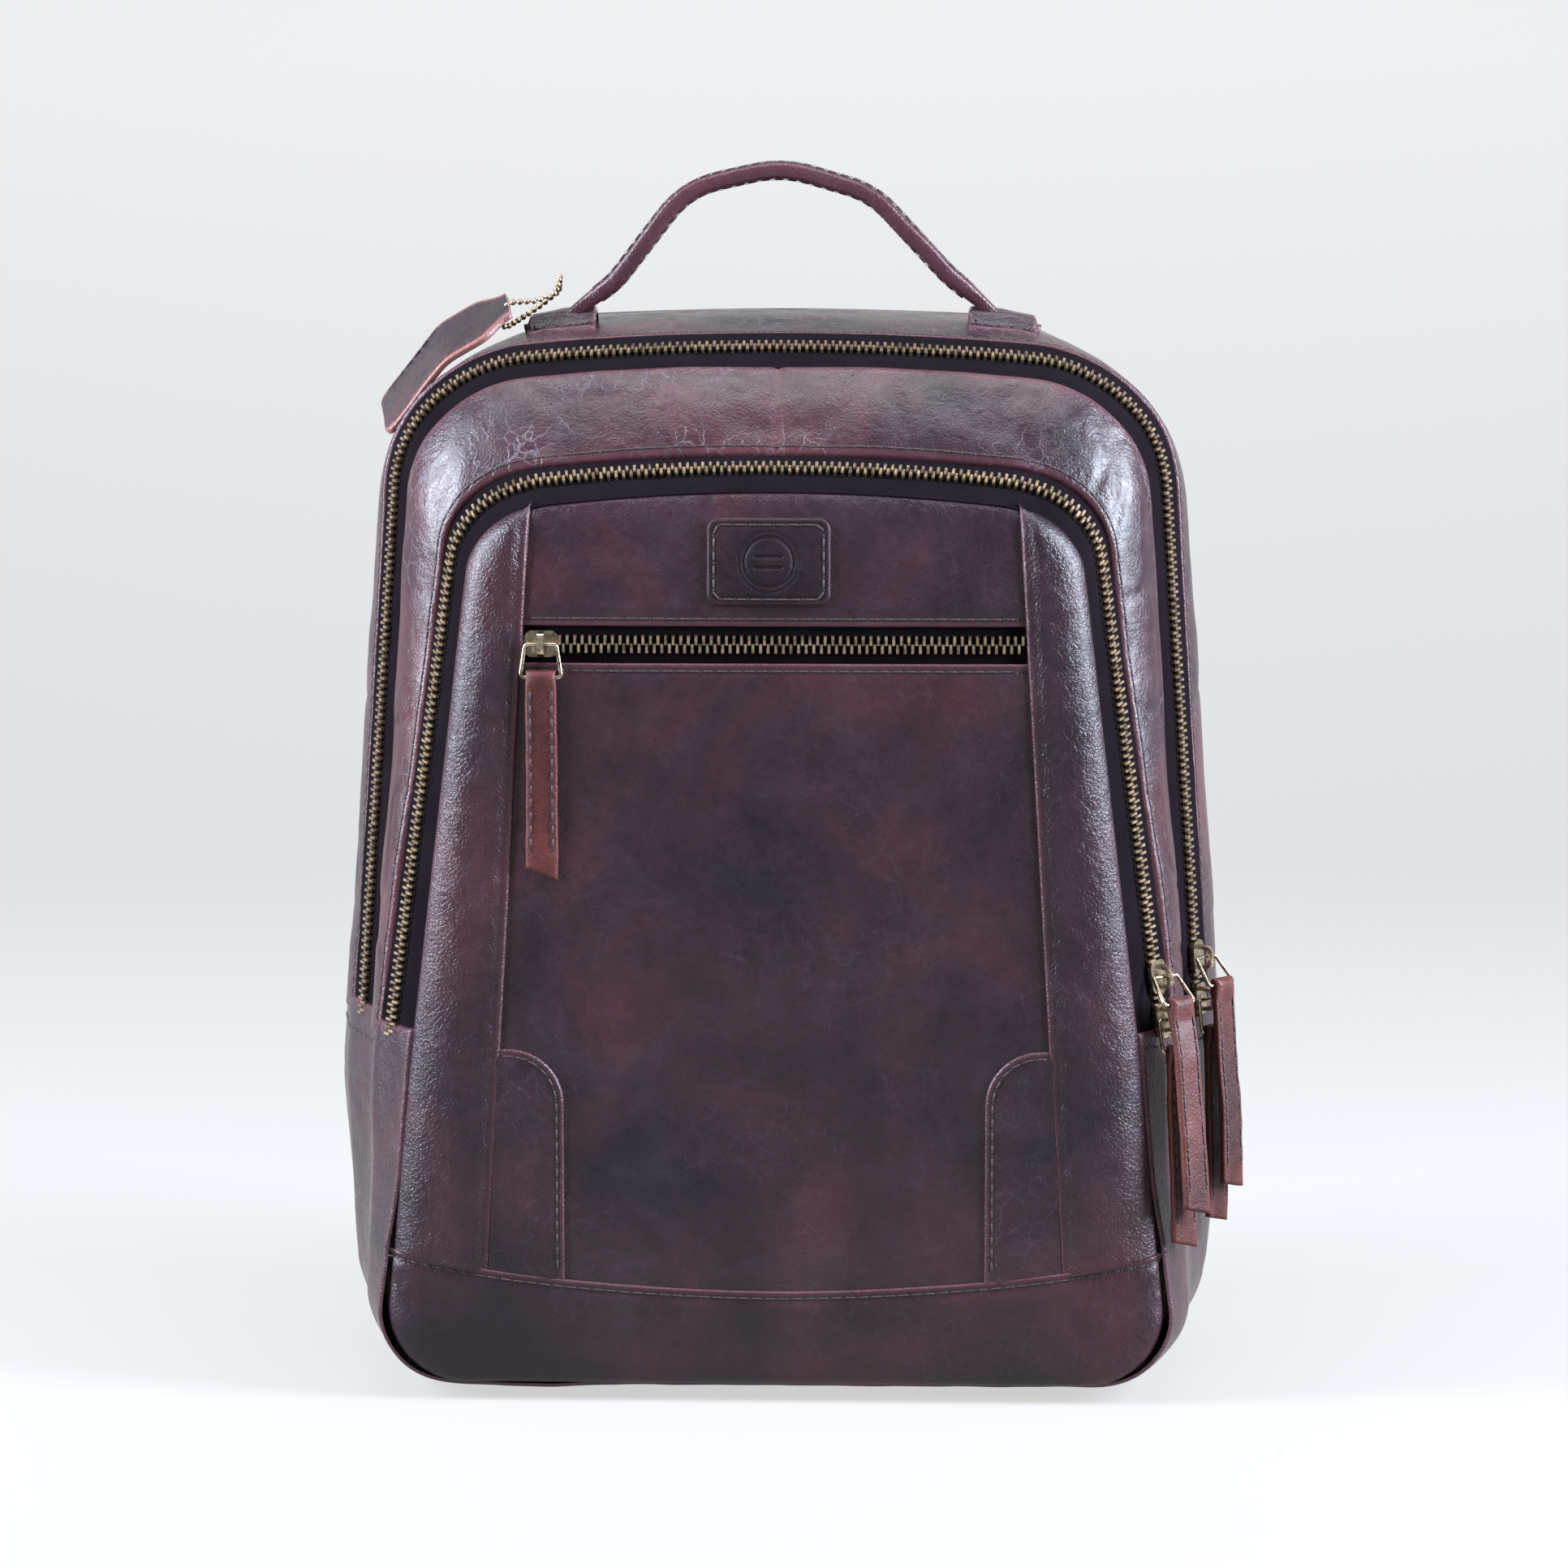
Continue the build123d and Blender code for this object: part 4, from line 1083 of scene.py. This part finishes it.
# each pull: its body, the direction it faces in degrees, and its path (out, up) from the ring's wire
PULL_SHAPES = {
    "front_upper_tab": ("front_upper_tab_body", 50, [(0, 0), (4.5, -20), (8, -48), (10.5, -76)]),
    "front_lower_tab": ("front_lower_ring_body", 50, [(0, 0), (1, -20), (3, -44), (4, -72)]),
    "main_upper_tab": ("main_upper_pull", 40, [(0, 0), (2.5, -22), (4.5, -44), (6, -76)]),
    "main_lower_tab": ("main_lower_pull", 40, [(0, 0), (1, -20), (2, -44), (2, -72)]),
    "pocket_tab": ("pocket_pull", 90, [(0, 0), (-0.4, -24), (-0.8, -50), (-0.8, -72)]),
}
LOOP_R = 2.6
TAG_LINE = [(-101, 397.5), (-126, 383), (-148, 355)]
TAG_ACROSS = (-0.16, 0.93, 0.33)
CHAIN_EYE = (-106.2, 26, 394.5)
CHAIN_TURNS = [
    (-99, 33, 394.8), (-92, 38.5, 399.5), (-85, 38.5, 405), (-84, 30, 410.8), (-85, 22, 405),
    (-92, 22.5, 402), (-102, 24.5, 401.2),
]
BEAD_PITCH, BEAD_R = 2.7, 1.18


def fillet_path(points, radii, n=14):
    """A path of straight runs joined by arcs."""
    points = [np.array(p, float) for p in points]
    out = [points[0]]
    for i, r in enumerate(radii, 1):
        out.extend(fillet_corner(points[i - 1], points[i], points[i + 1], r, n))
    out.append(points[-1])
    return np.array(out)


def band_mesh(centre, across, widths, thicks, layers=True, puff=None, slant=0.0, fine=9):
    """A flat band swept along a path, with round edges; layers shows the line between its two leathers."""
    centre = np.asarray(centre, float)
    across = unit(np.broadcast_to(np.asarray(across, float), centre.shape))
    t = unit(np.gradient(centre, axis=0))
    up = unit(np.cross(across, t))
    run = run_along(centre)
    notch = 0.3 if layers else 0
    rows, edge = [], []
    for i in range(len(centre)):
        w, h = widths[i] / 2, thicks[i] / 2
        r = min(h, w * 0.9)
        flat_w = w - r
        # one face and one edge; the other half of the section is the same turned half round
        half, worn = [], []
        for u in np.linspace(-1, 1, fine):
            swell = puff[i] * smooth((1 - abs(u)) * 3.0) if puff is not None else 0.0
            half.append((u * flat_w, -h - swell))
            worn.append(math.exp(-(((1 - abs(u)) * flat_w / 1.3) ** 2)))
        for a in np.linspace(-math.pi / 2, math.pi / 2, 7)[1:-1]:
            bulge = r * math.cos(a) * (1 - notch * math.exp(-((a / 0.28) ** 2)))
            half.append((flat_w + bulge, h * math.sin(a)))
            worn.append(1.0)
        late = slant * smooth((run[i] - run[-1] + 14) / 14)
        section = half + [(-a, -b) for a, b in half]
        rows.append([centre[i] + across[i] * a + up[i] * b + t[i] * (late * a) for a, b in section])
        edge.append(worn + worn)
    grid = np.array(rows)
    nu, nv = grid.shape[:2]
    verts = grid.reshape(-1, 3)
    verts = np.concatenate([verts, [verts[:nv].mean(0), verts[-nv:].mean(0)]])
    faces = tube_faces(nu, nv)
    for j in range(nv):
        k = (j + 1) % nv
        faces.append([nu * nv, k, j])
        faces.append([nu * nv + 1, (nu - 1) * nv + j, (nu - 1) * nv + k])
    return verts, faces, np.concatenate([np.ravel(edge), [1, 1]]), up


def edge_lines(centre, across, up, widths, thicks, inset, puff, ends):
    """Four lines along a band: on each of its faces, one near each edge."""
    across = unit(np.broadcast_to(np.asarray(across, float), centre.shape))
    w = (np.asarray(widths) / 2 - inset)[:, None]
    h = (np.asarray(thicks) / 2 + puff)[:, None]
    part = slice(*ends)
    return [
        ((centre + across * w * s + up * h * face)[part], (up * face)[part])
        for face in (1, -1)
        for s in (-1, 1)
    ]


def make_handle():
    flat = resample(fillet_path(HANDLE_RISE, [14, 30, 34, 44, 34, 30, 14]), np.linspace(0, 1, 110))
    centre = np.stack([flat[:, 0], HANDLE_Y + 0.8 * np.sin(flat[:, 0] / 31), flat[:, 1]], -1)
    widths = 9.0 + 11.5 * smooth((86 - np.abs(flat[:, 0])) / 34)
    thicks = 6.4 - 1.8 * smooth((np.abs(flat[:, 0]) - 66) / 14)
    verts, faces, edge, up = band_mesh(centre, BACKWARD, widths, thicks, fine=13)
    verts = wobble(verts, by=0.35, scale=14, seed=5)
    handle = put_mesh("carry_handle_leather", verts, faces, LEATHER, "leather_dark", edge)
    attach(handle, ("back_shell", "handle", (0, 0.03, 0.396), (0, 0.03, 0.408)), "carry_handle")
    paths = edge_lines(centre, BACKWARD, up, widths, thicks, inset=3.2, puff=0.1, ends=(14, -14))
    put_stitches("carry_handle_stitches", paths, "handle", height=0.3, width=0.7)


def top_height(x, y):
    """Height of the top gusset at (x, y)."""
    out = np.zeros(np.shape(x))
    for i in range(x.shape[1]):
        depth = float(y[0, i])
        o = mix(BELLY, BACK, depth) if depth > 30 else mix(REAR_EDGE, BELLY, depth)
        pts = upper_arch(o, 1)
        pts = pts[pts[:, 1] > 330]
        out[:, i] = np.interp(x[:, i], pts[:, 0], pts[:, 1])
    return out


def over_handle(y):
    """How much higher a tab lies where it laps over the handle's end."""
    return 4.4 * smooth((8.5 - np.abs(y - HANDLE_Y)) / 4.5)


def make_handle_tabs():
    paths, tabs = [], []
    for side, word in SIDES:
        xs, ys = np.linspace(TAB_X - 13, TAB_X + 13, 40) * side, np.linspace(HANDLE_Y - 12, HANDLE_Y + 12, 36)
        x, y = np.meshgrid(xs, ys, indexing="ij")
        d = np.minimum(13 - np.abs(x * side - TAB_X), 12 - np.abs(y - HANDLE_Y))
        z = top_height(x, y) + 2.3 + over_handle(y) - roll(d, 1.6, 2.4)
        z = z + 0.2 * noise(np.stack([x, y, x], -1), 8, 4)
        wear = np.exp(-((d / 1.5) ** 2))
        grid = np.stack([x, y, z], -1)
        tabs.append(put_grid(f"handle_tab_{word}_leather", grid, LEATHER, "leather_dark", UPWARD, wear))
        attach(tabs[-1], "back_shell")
        loop = rounded_rectangle(20.5, 18.5, 2.5) + np.array([TAB_X * side, HANDLE_Y])
        z = np.array([top_height(np.array([[px]]), np.array([[py]]))[0, 0] for px, py in loop])
        z = z + 2.5 + over_handle(loop[:, 1])
        paths.append((np.column_stack([loop, z]), np.tile(UPWARD, (len(loop), 1))))
    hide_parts("handle_tabs")
    put_stitches("handle_tab_stitches", paths, "back_shell")


def make_pulls():
    """Folded leather pulls: a loop over the ring's wire, two layers and two rows of stitching."""
    for node, (body, degrees, path) in PULL_SHAPES.items():
        out = np.array([math.cos(math.radians(degrees)), -math.sin(math.radians(degrees)), 0])
        across = np.cross(UPWARD, out)
        lo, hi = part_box(node)
        # the loop's axis lies LOOP_R under the node's top, on the side of the path's start
        mid = np.array([(lo.x + hi.x) / 2, (lo.y + hi.y) / 2, 0]) / MM
        outs = [p[0] for p in path]
        low_out, high_out = min(min(outs) - 1.3, -LOOP_R), max(max(outs) + 1.3, LOOP_R)
        start = mid - out * (low_out + high_out) / 2
        start[2] = hi.z / MM - LOOP_R
        loop = [(0, LOOP_R * k) for k in (0.98, 0.9, 0.7, 0.4)]
        shares = np.concatenate([np.linspace(0, 0.12, 14)[:-1], np.linspace(0.12, 1, 46)])
        flat = resample(np.concatenate([loop, fillet_path(path, [30, 30])]), shares)
        rise = flat[:, 1]
        centre = start + flat[:, :1] * out + flat[:, 1:] * UPWARD
        centre = centre + (0.25 * np.sin(rise / 9 + len(node)))[:, None] * out
        head = 2 * np.sqrt(np.clip(LOOP_R**2 - np.clip(rise, 0, LOOP_R) ** 2, 0.3, None))
        thicks = np.where(rise > 0, head, 2.8 + (2 * LOOP_R - 2.8) * (1 - smooth(-rise / 7)))
        widths = 12.0 + 0.25 * np.sin(rise / 17) - 0.8 * smooth((rise + 4) / 6)
        slant = 0.42 if node == "pocket_tab" else 0.25
        verts, faces, edge, up = band_mesh(centre, across, widths, thicks, slant=slant)
        verts = wobble(verts, by=0.16, scale=6, seed=15)
        pull = put_mesh(f"{node}_leather", verts, faces, PULL_LEATHER, "leather_trim", edge)
        attach(pull, body, node)
        paths = edge_lines(centre, across, up, widths, thicks, inset=2.0, puff=0.05, ends=(10, -4))
        put_stitches(f"{node}_stitches", paths, body)


def make_tag():
    flat = resample(fillet_path(TAG_LINE, [20]), np.linspace(0, 1, 50))
    centre = np.stack([flat[:, 0] - 2.0, np.full(50, 26.0), flat[:, 1] + 2.6], -1)
    s = np.linspace(0, 1, 50)
    round_end = 1 - np.sqrt(np.clip(1 - np.clip((s - 0.9) / 0.1, 0, 1) ** 2, 0, 1))
    widths = 36 - 14 * (1 - smooth(s / 0.22)) - 7 * round_end
    thicks = np.full(50, 2.6)
    verts, faces, edge, up = band_mesh(centre, TAG_ACROSS, widths, thicks, fine=15)
    verts = wobble(verts, by=0.3, scale=12, seed=25)
    tag = put_mesh("hang_tag_leather", verts, faces, TAG_LEATHER, "leather_trim", edge)
    attach(tag, "tag", "hang_tag")
    paths = edge_lines(centre, TAG_ACROSS, up, widths, thicks, inset=3.0, puff=0.0, ends=(8, -3))
    put_stitches("hang_tag_stitches", paths, "tag")


def make_bead_chain():
    """Beads on a wire, from the tag's hole round the handle's end and back."""
    eye, through = np.array(CHAIN_EYE), np.array([0.5, 0, -0.866]) * 3.4
    turns = np.array([eye, eye + through, *np.array(CHAIN_TURNS, float), eye - through, eye])
    count = int(length_of(turns) / BEAD_PITCH)
    beads = resample(turns, np.linspace(0, 1, count + 1)[:-1])
    bm = bmesh.new()
    bmesh.ops.create_icosphere(bm, subdivisions=2, radius=BEAD_R)
    ball = np.array([v.co for v in bm.verts])
    ball_faces = [[v.index for v in f.verts] for f in bm.faces]
    bm.free()
    parts = [(ball + b, ball_faces) for b in beads]
    wire = np.full(3, 0.7)
    for a, b in zip(beads, np.roll(beads, -1, axis=0)):
        side = unit(np.cross(b - a, [0.3, 0.9, 0.2]))
        parts.append(band_mesh(np.linspace(a, b, 3), side, wire, wire, False, fine=3)[:2])
    attach(put_mesh("bead_chain", *join_parts(parts), BRASS, "antique_brass"), "tag", "tag_chain")


# ---------------------------------------------------------------- shoulder straps and the back

STRAP_TOP = np.array([42, 80.6, 366.0])
STRAP_LOW = np.array([132, 80.5, 30.0])
STRAP_LINE = [(-18, 0.8), (8, 2.2), (52, 24), (120, 38), (196, 36), (222, 31)]
STRAP_PLAN = [(-18, 13), (24, 14), (52, 22), (90, 28), (185, 25), (212, 17), (222, 15)]
PIPING_R = 2.1
ANCHOR_X, ANCHOR_Z = 132, 22


def make_straps():
    span = np.linalg.norm(STRAP_LOW - STRAP_TOP)
    along0 = (STRAP_LOW - STRAP_TOP) / span
    away0 = unit(BACKWARD - along0 * along0[1])
    for side, word in SIDES:
        flip = np.array([side, 1.0, 1.0])
        along, away, top = along0 * flip, away0 * flip, STRAP_TOP * flip
        across = unit(np.cross(along, away))
        flat = resample(fillet_path(STRAP_LINE, [40, 60, 120, 120]), np.linspace(0, 1, 120))
        centre = top + flat[:, :1] * along + flat[:, 1:] * away
        widths = 2 * np.interp(flat[:, 0], *np.array(STRAP_PLAN, float).T)
        widths = np.convolve(np.pad(widths, 5, "edge"), np.ones(11) / 11, "valid")
        thicks = np.full(120, 3.6)
        puff = 0.2 + 2.9 * smooth((flat[:, 0] - 18) / 24) * smooth((220 - flat[:, 0]) / 14)
        verts, faces, edge, up = band_mesh(centre, across, widths, thicks, True, puff, fine=25)
        verts = wobble(verts, by=0.4, scale=18, seed=35)
        pad = put_mesh(f"shoulder_strap_{word}_pad", verts, faces, LEATHER, "leather_dark", edge)
        start, end = (top + along * 6 + away * 2) * MM, (top + along * 46 + away * 20) * MM
        swing = ("back_shell", f"strap_{word}", start, end)
        attach(pad, swing, f"strap_pad_{word}")
        paths = edge_lines(centre, across, up, widths, thicks, inset=4.2, puff=0.35, ends=(2, -2))
        put_stitches(f"shoulder_strap_{word}_stitches", paths, swing)
        flat = resample([(212, 32.2), (span - 5, 0.6)], np.linspace(0, 1, 60))
        sag = 0.24 * np.sin(np.linspace(0, math.pi, 60))
        centre = top + flat[:, :1] * along + (flat[:, 1:] - sag[:, None]) * away
        verts, faces, *_ = band_mesh(centre, across, np.full(60, 25.6), np.full(60, 2.0), False, fine=21)
        web = put_mesh(f"strap_web_{word}_cloth", verts, faces, WEB, "leather_dark")
        attach(web, f"strap_{word}", f"strap_web_{word}")
    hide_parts("strap_heads")


def back_plate(name, centre, size, r, y, thick, stitch=3.0):
    """A rounded leather plate sewn on the back: centre and size in (x, z), y its outer face."""
    w, h = size
    x, z, d = rounded_plate(w, h, r, max(24, int(w / 1.5)), max(24, int(h / 1.5)))
    x, z = x + centre[0], z + centre[1]
    depth = y - roll(d, 1.3, thick) - 0.35 * np.exp(-(((d - stitch) / 1.1) ** 2))
    depth = depth + 0.25 * noise(np.stack([x, depth, z], -1), 15, 61)
    wear = np.exp(-((d / 1.4) ** 2))
    plate = put_grid(name, np.stack([x, depth, z], -1), LEATHER, "leather_dark", BACKWARD, wear)
    attach(plate, "back_shell")
    loop = rounded_rectangle(w - 2 * stitch, h - 2 * stitch, max(1.0, r - stitch)) + np.array(centre)
    path = np.stack([loop[:, 0], np.full(len(loop), y - 0.2), loop[:, 1]], -1)
    put_stitches(f"{name}_stitches", [(path, np.tile(BACKWARD, (len(path), 1)))], "back_shell")
    return plate


def soft_plate(
    name, o, y_front, y_back, material, slot, node, on, inset, z0=None, z1=None, swell_back=None,
):
    """A plate with the outline's shape between two depths. swell_back(x, z) pushes its rear face out."""
    pts, _ = ring_half(grow(o, -inset), 2)
    low = pts[0, 1] if z0 is None else z0
    high = pts[-1, 1] if z1 is None else z1
    pts = pts[(pts[:, 1] >= low) & (pts[:, 1] <= high)]
    if pts[0, 0] > 1:
        pts = np.concatenate([line((0, pts[0, 1]), pts[0], 30)[:-1], pts])
    if pts[-1, 0] > 1:
        pts = np.concatenate([pts, line(pts[-1], (0, pts[-1, 1]), 30)[1:]])
    pts = resample(pts, np.linspace(0, 1, 260))
    vs = np.linspace(0, 1, 121)[None, :, None]
    flat = mirrored(pts)[:, None] * (1 - vs) + pts[:, None] * vs
    x, z = flat[..., 0], flat[..., 1]
    uneven = 0.4 * noise(np.stack([x, x * 0, z], -1), 60, 71)
    rear_y = y_back + uneven + (swell_back(x, z) if swell_back else 0)
    front_face = np.stack([x, y_front + uneven * 0.3, z], -1)
    rear_face = np.stack([x, rear_y, z], -1)[:, ::-1]
    grid = np.concatenate([front_face, rear_face], axis=1)
    plate = put_mesh(name, grid.reshape(-1, 3), tube_faces(*grid.shape[:2]), material, slot)
    return attach(plate, on, node)


def back_padding(x, z):
    """Three stitched pads on the back: one to each side of the spine and one across the waist."""
    ax = np.abs(x)
    spine = smooth((ax - 9) / 16)
    side = smooth((132 - ax) / 18)
    tall = smooth((z - 128) / 14) * smooth((322 - z) / 14)
    waist = smooth((z - 28) / 14) * smooth((112 - z) / 12) * smooth((118 - ax) / 18)
    return 5.2 * spine * side * tall + 4.6 * waist


def make_back():
    panel = soft_plate(
        "padded_back_panel", BACK, 70.4, 73.0, LEATHER_PEBBLED, "leather_dark", "back_panel", "back_shell",
        inset=0.5, swell_back=back_padding,
    )
    pads = [rounded_rectangle(100, 178, 9, 6) + np.array([side * 68.0, 225.0]) for side, _ in SIDES]
    pads.append(rounded_rectangle(218, 66, 9, 6) + np.array([0, 70.0]))
    paths = []
    for loop in pads:
        p = resample(loop, np.linspace(0, 1, 200))
        y = 73.1 + back_padding(p[:, 0], p[:, 1])
        paths.append((np.stack([p[:, 0], y, p[:, 1]], -1), np.tile(BACKWARD, (len(p), 1))))
    put_stitches("back_pad_stitches", paths, "back_shell")
    make_piping()
    yoke = back_plate("strap_yoke_leather", (0, 368), (150, 44), r=14, y=76.6, thick=3.2)
    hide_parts("strap_yoke")
    for side, word in SIDES:
        place_low = (ANCHOR_X * side, ANCHOR_Z)
        anchor = back_plate(f"strap_anchor_{word}_leather", place_low, (30, 26), r=6, y=76.8, thick=3.4)
        if side > 0:
            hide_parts("strap_anchors")
        back_plate(f"strap_keeper_{word}_leather", place_low, (22, 13), r=3, y=81.6, thick=5.0, stitch=2.2)


def make_piping():
    """The round piping sewn in along the back edge."""
    centre = at_depth(whole_ring(grow(BACK, -1.9)), 71.6)
    tangent = unit(np.roll(centre, -1, axis=0) - np.roll(centre, 1, axis=0))
    verts = []
    for middle, t in zip(centre, tangent):
        up = np.cross(t, BACKWARD)
        for a in np.linspace(0, 2 * math.pi, 11)[:-1]:
            verts.append(middle + PIPING_R * (BACKWARD * math.cos(a) + up * math.sin(a)))
    faces = [face[:1] + face[:0:-1] for face in tube_faces(len(centre), 10, True)]
    attach(put_mesh("back_piping", verts, faces, LEATHER, "leather_dark"), "back_shell")


def make_insides():
    outlines = (mix(BELLY, BACK, 61.0), BELLY, mix(REAR_EDGE, BELLY, 7.5))
    rings = [at_depth(whole_ring(grow(o, -3.9)), o["y"]) for o in outlines]
    grid = loft(rings, np.linspace(0, 1, 18), True)
    grid[..., 2] = np.maximum(grid[..., 2], 4.2)
    grid = np.concatenate([grid, grid[:1]])
    inward = np.array([0, MID_Z, MID_Z]) - grid * np.array([1, 0, 1.0])
    lining = put_grid("main_lining_cloth", grid, LINING, "lining", inward)
    attach(lining, "back_shell", "main_lining")
    soft_plate("back_foam_pad", BACK, 62.2, 69.8, FOAM, "foam", "back_foam", "back_shell", inset=8)
    divider = soft_plate(
        "laptop_divider_pad", BACK, 44.0, 49.0, LINING, "lining", "laptop_divider", "back_shell",
        inset=9.5, z0=12, z1=292,
    )
    for node, on, span in (
        ("divider_wall", REAR_FOLD, dict(z0=FOLD_Z + 0.3)),
        ("divider_skirt", "back_shell", dict(z1=FOLD_Z - 0.3)),
    ):
        soft_plate(f"{node}_cloth", MID_EDGE, -39.8, -37.6, LINING, "lining", node, on, 3.4, **span)
    lo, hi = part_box("pocket_bag")
    xs, zs = np.linspace(lo.x / MM, hi.x / MM, 60), np.linspace(lo.z / MM, hi.z / MM, 50)
    x, z = np.meshgrid(xs * 0.82, zs, indexing="ij")
    y = -57.4 + 0.5 * noise(np.stack([x, x * 0, z], -1), 30, 81)
    bag = put_grid("pocket_bag_cloth", np.stack([x, y, z], -1), LINING, "lining", BACKWARD)
    attach(bag, FRONT_FOLD, "pocket_bag")


def finish_nodes():
    """Materials for the hardware and the board that keep their built shape."""
    for name, obj in NODES.items():
        if obj.hide_render:
            continue
        hard = name.endswith(("_slider", "_ring")) or name.startswith("adjuster") or name == "anchor_rings"
        material, slot = (BRASS_CAD, "antique_brass") if hard else (BOARD, "board")
        obj.data.materials.clear()
        obj.data.materials.append(material)


# ---------------------------------------------------------------- studio

SWEEP_R = 1.2
CAMERA_AZIMUTH, CAMERA_ELEVATION, CAMERA_AWAY = 1.8, 8, 1.9


def shade_range(n, value, low, high, at_low, at_high):
    """A number that goes from at_low to at_high as value goes from low to high."""
    node = n.node("ShaderNodeMapRange")
    for socket, number in zip(("From Min", "From Max", "To Min", "To Max"), (low, high, at_low, at_high)):
        node.inputs[socket].default_value = number
    n.link(value, node.inputs["Value"])
    return node.outputs[0]


def make_backdrop():
    """A floor that curves up into walls behind the bag and in front of it, paler towards the top."""
    turn = np.linspace(0, math.pi / 2, 16)
    profile = [(-3.4, 4.5)]
    profile += [(-2.2 - SWEEP_R * math.sin(a), SWEEP_R - SWEEP_R * math.cos(a)) for a in turn[::-1]]
    profile += [(1.2, 0.0)]
    profile += [(1.2 + SWEEP_R * math.sin(a), SWEEP_R - SWEEP_R * math.cos(a)) for a in turn[1:]]
    profile += [(2.4, 4.5)]
    verts = [(x, y, z - 0.0006) for y, z in profile for x in (-5.0, 5.0)]
    faces = [(2 * i, 2 * i + 1, 2 * i + 3, 2 * i + 2) for i in range(len(profile) - 1)]
    mesh = bpy.data.meshes.new("backdrop")
    mesh.from_pydata(verts, [], faces)
    mesh.polygons.foreach_set("use_smooth", [True] * len(mesh.polygons))
    floor = bpy.data.objects.new("backdrop", mesh)
    bpy.context.scene.collection.objects.link(floor)
    n = Nodes("backdrop_paper")
    n.set(Base_Color=(0.09, 0.09, 0.09, 1), Roughness=0.95, Specular_IOR_Level=0.0)
    n.set(Emission_Color=(0.86, 0.86, 0.86, 1))
    sep = n.node("ShaderNodeSeparateXYZ")
    n.link(n.node("ShaderNodeTexCoord").outputs["Object"], sep.inputs[0])
    rise = shade_range(n, sep.outputs[2], 0.0, 0.5, 0.70, 0.86)
    dim = shade_range(n, sep.outputs[1], -1.6, -0.6, 0.22, 1.0)
    n.link(n.math("MULTIPLY", rise, dim), n.bsdf.inputs["Emission Strength"])
    mesh.materials.append(n.mat)


def put_softbox(name, where, target, size, watts, colour):
    lamp = bpy.data.lights.new(name, "AREA")
    lamp.shape = "RECTANGLE"
    lamp.size, lamp.size_y = size
    lamp.energy = watts
    lamp.color = colour
    obj = bpy.data.objects.new(name, lamp)
    obj.location = where
    obj.rotation_euler = (Vector(target) - Vector(where)).to_track_quat("-Z", "Y").to_euler()
    bpy.context.scene.collection.objects.link(obj)


def put_camera():
    lens = bpy.data.cameras.new("camera")
    lens.lens = 116
    lens.sensor_width = 36
    camera = bpy.data.objects.new("camera", lens)
    target = Vector((0.0015, 0, 0.222))
    az, el = math.radians(CAMERA_AZIMUTH), math.radians(CAMERA_ELEVATION)
    towards = Vector((math.sin(az) * math.cos(el), -math.cos(az) * math.cos(el), math.sin(el)))
    camera.location = target + CAMERA_AWAY * towards
    camera.rotation_euler = (target - camera.location).to_track_quat("-Z", "Y").to_euler()
    bpy.context.scene.collection.objects.link(camera)
    bpy.context.scene.camera = camera


def make_studio():
    world = bpy.data.worlds.new("studio")
    bpy.context.scene.world = world
    world.use_nodes = True
    background = world.node_tree.nodes["Background"]
    background.inputs[0].default_value = (0.84, 0.86, 0.9, 1)
    background.inputs[1].default_value = 0.05
    make_backdrop()
    put_softbox("left_softbox", (-1.25, -0.35, 0.75), (0, 0, 0.22), (0.4, 1.1), 88, (0.78, 0.86, 1.0))
    put_softbox("right_softbox", (1.25, -0.35, 0.75), (0, 0, 0.22), (0.4, 1.1), 104, (0.78, 0.86, 1.0))
    put_softbox("top_softbox", (0, -0.15, 1.6), (0, 0, 0.25), (1.3, 0.7), 26, (0.95, 0.97, 1.0))
    put_softbox("front_fill", (0.1, -2.2, 0.9), (0, 0, 0.2), (1.4, 1.0), 3, (0.95, 0.96, 1.0))
    put_camera()
    bpy.context.scene.view_settings.view_transform = "Standard"


make_gussets()
make_long_zips()
make_front()
make_handle()
make_handle_tabs()
make_pulls()
make_tag()
make_bead_chain()
make_straps()
make_back()
make_insides()
finish_nodes()
make_studio()
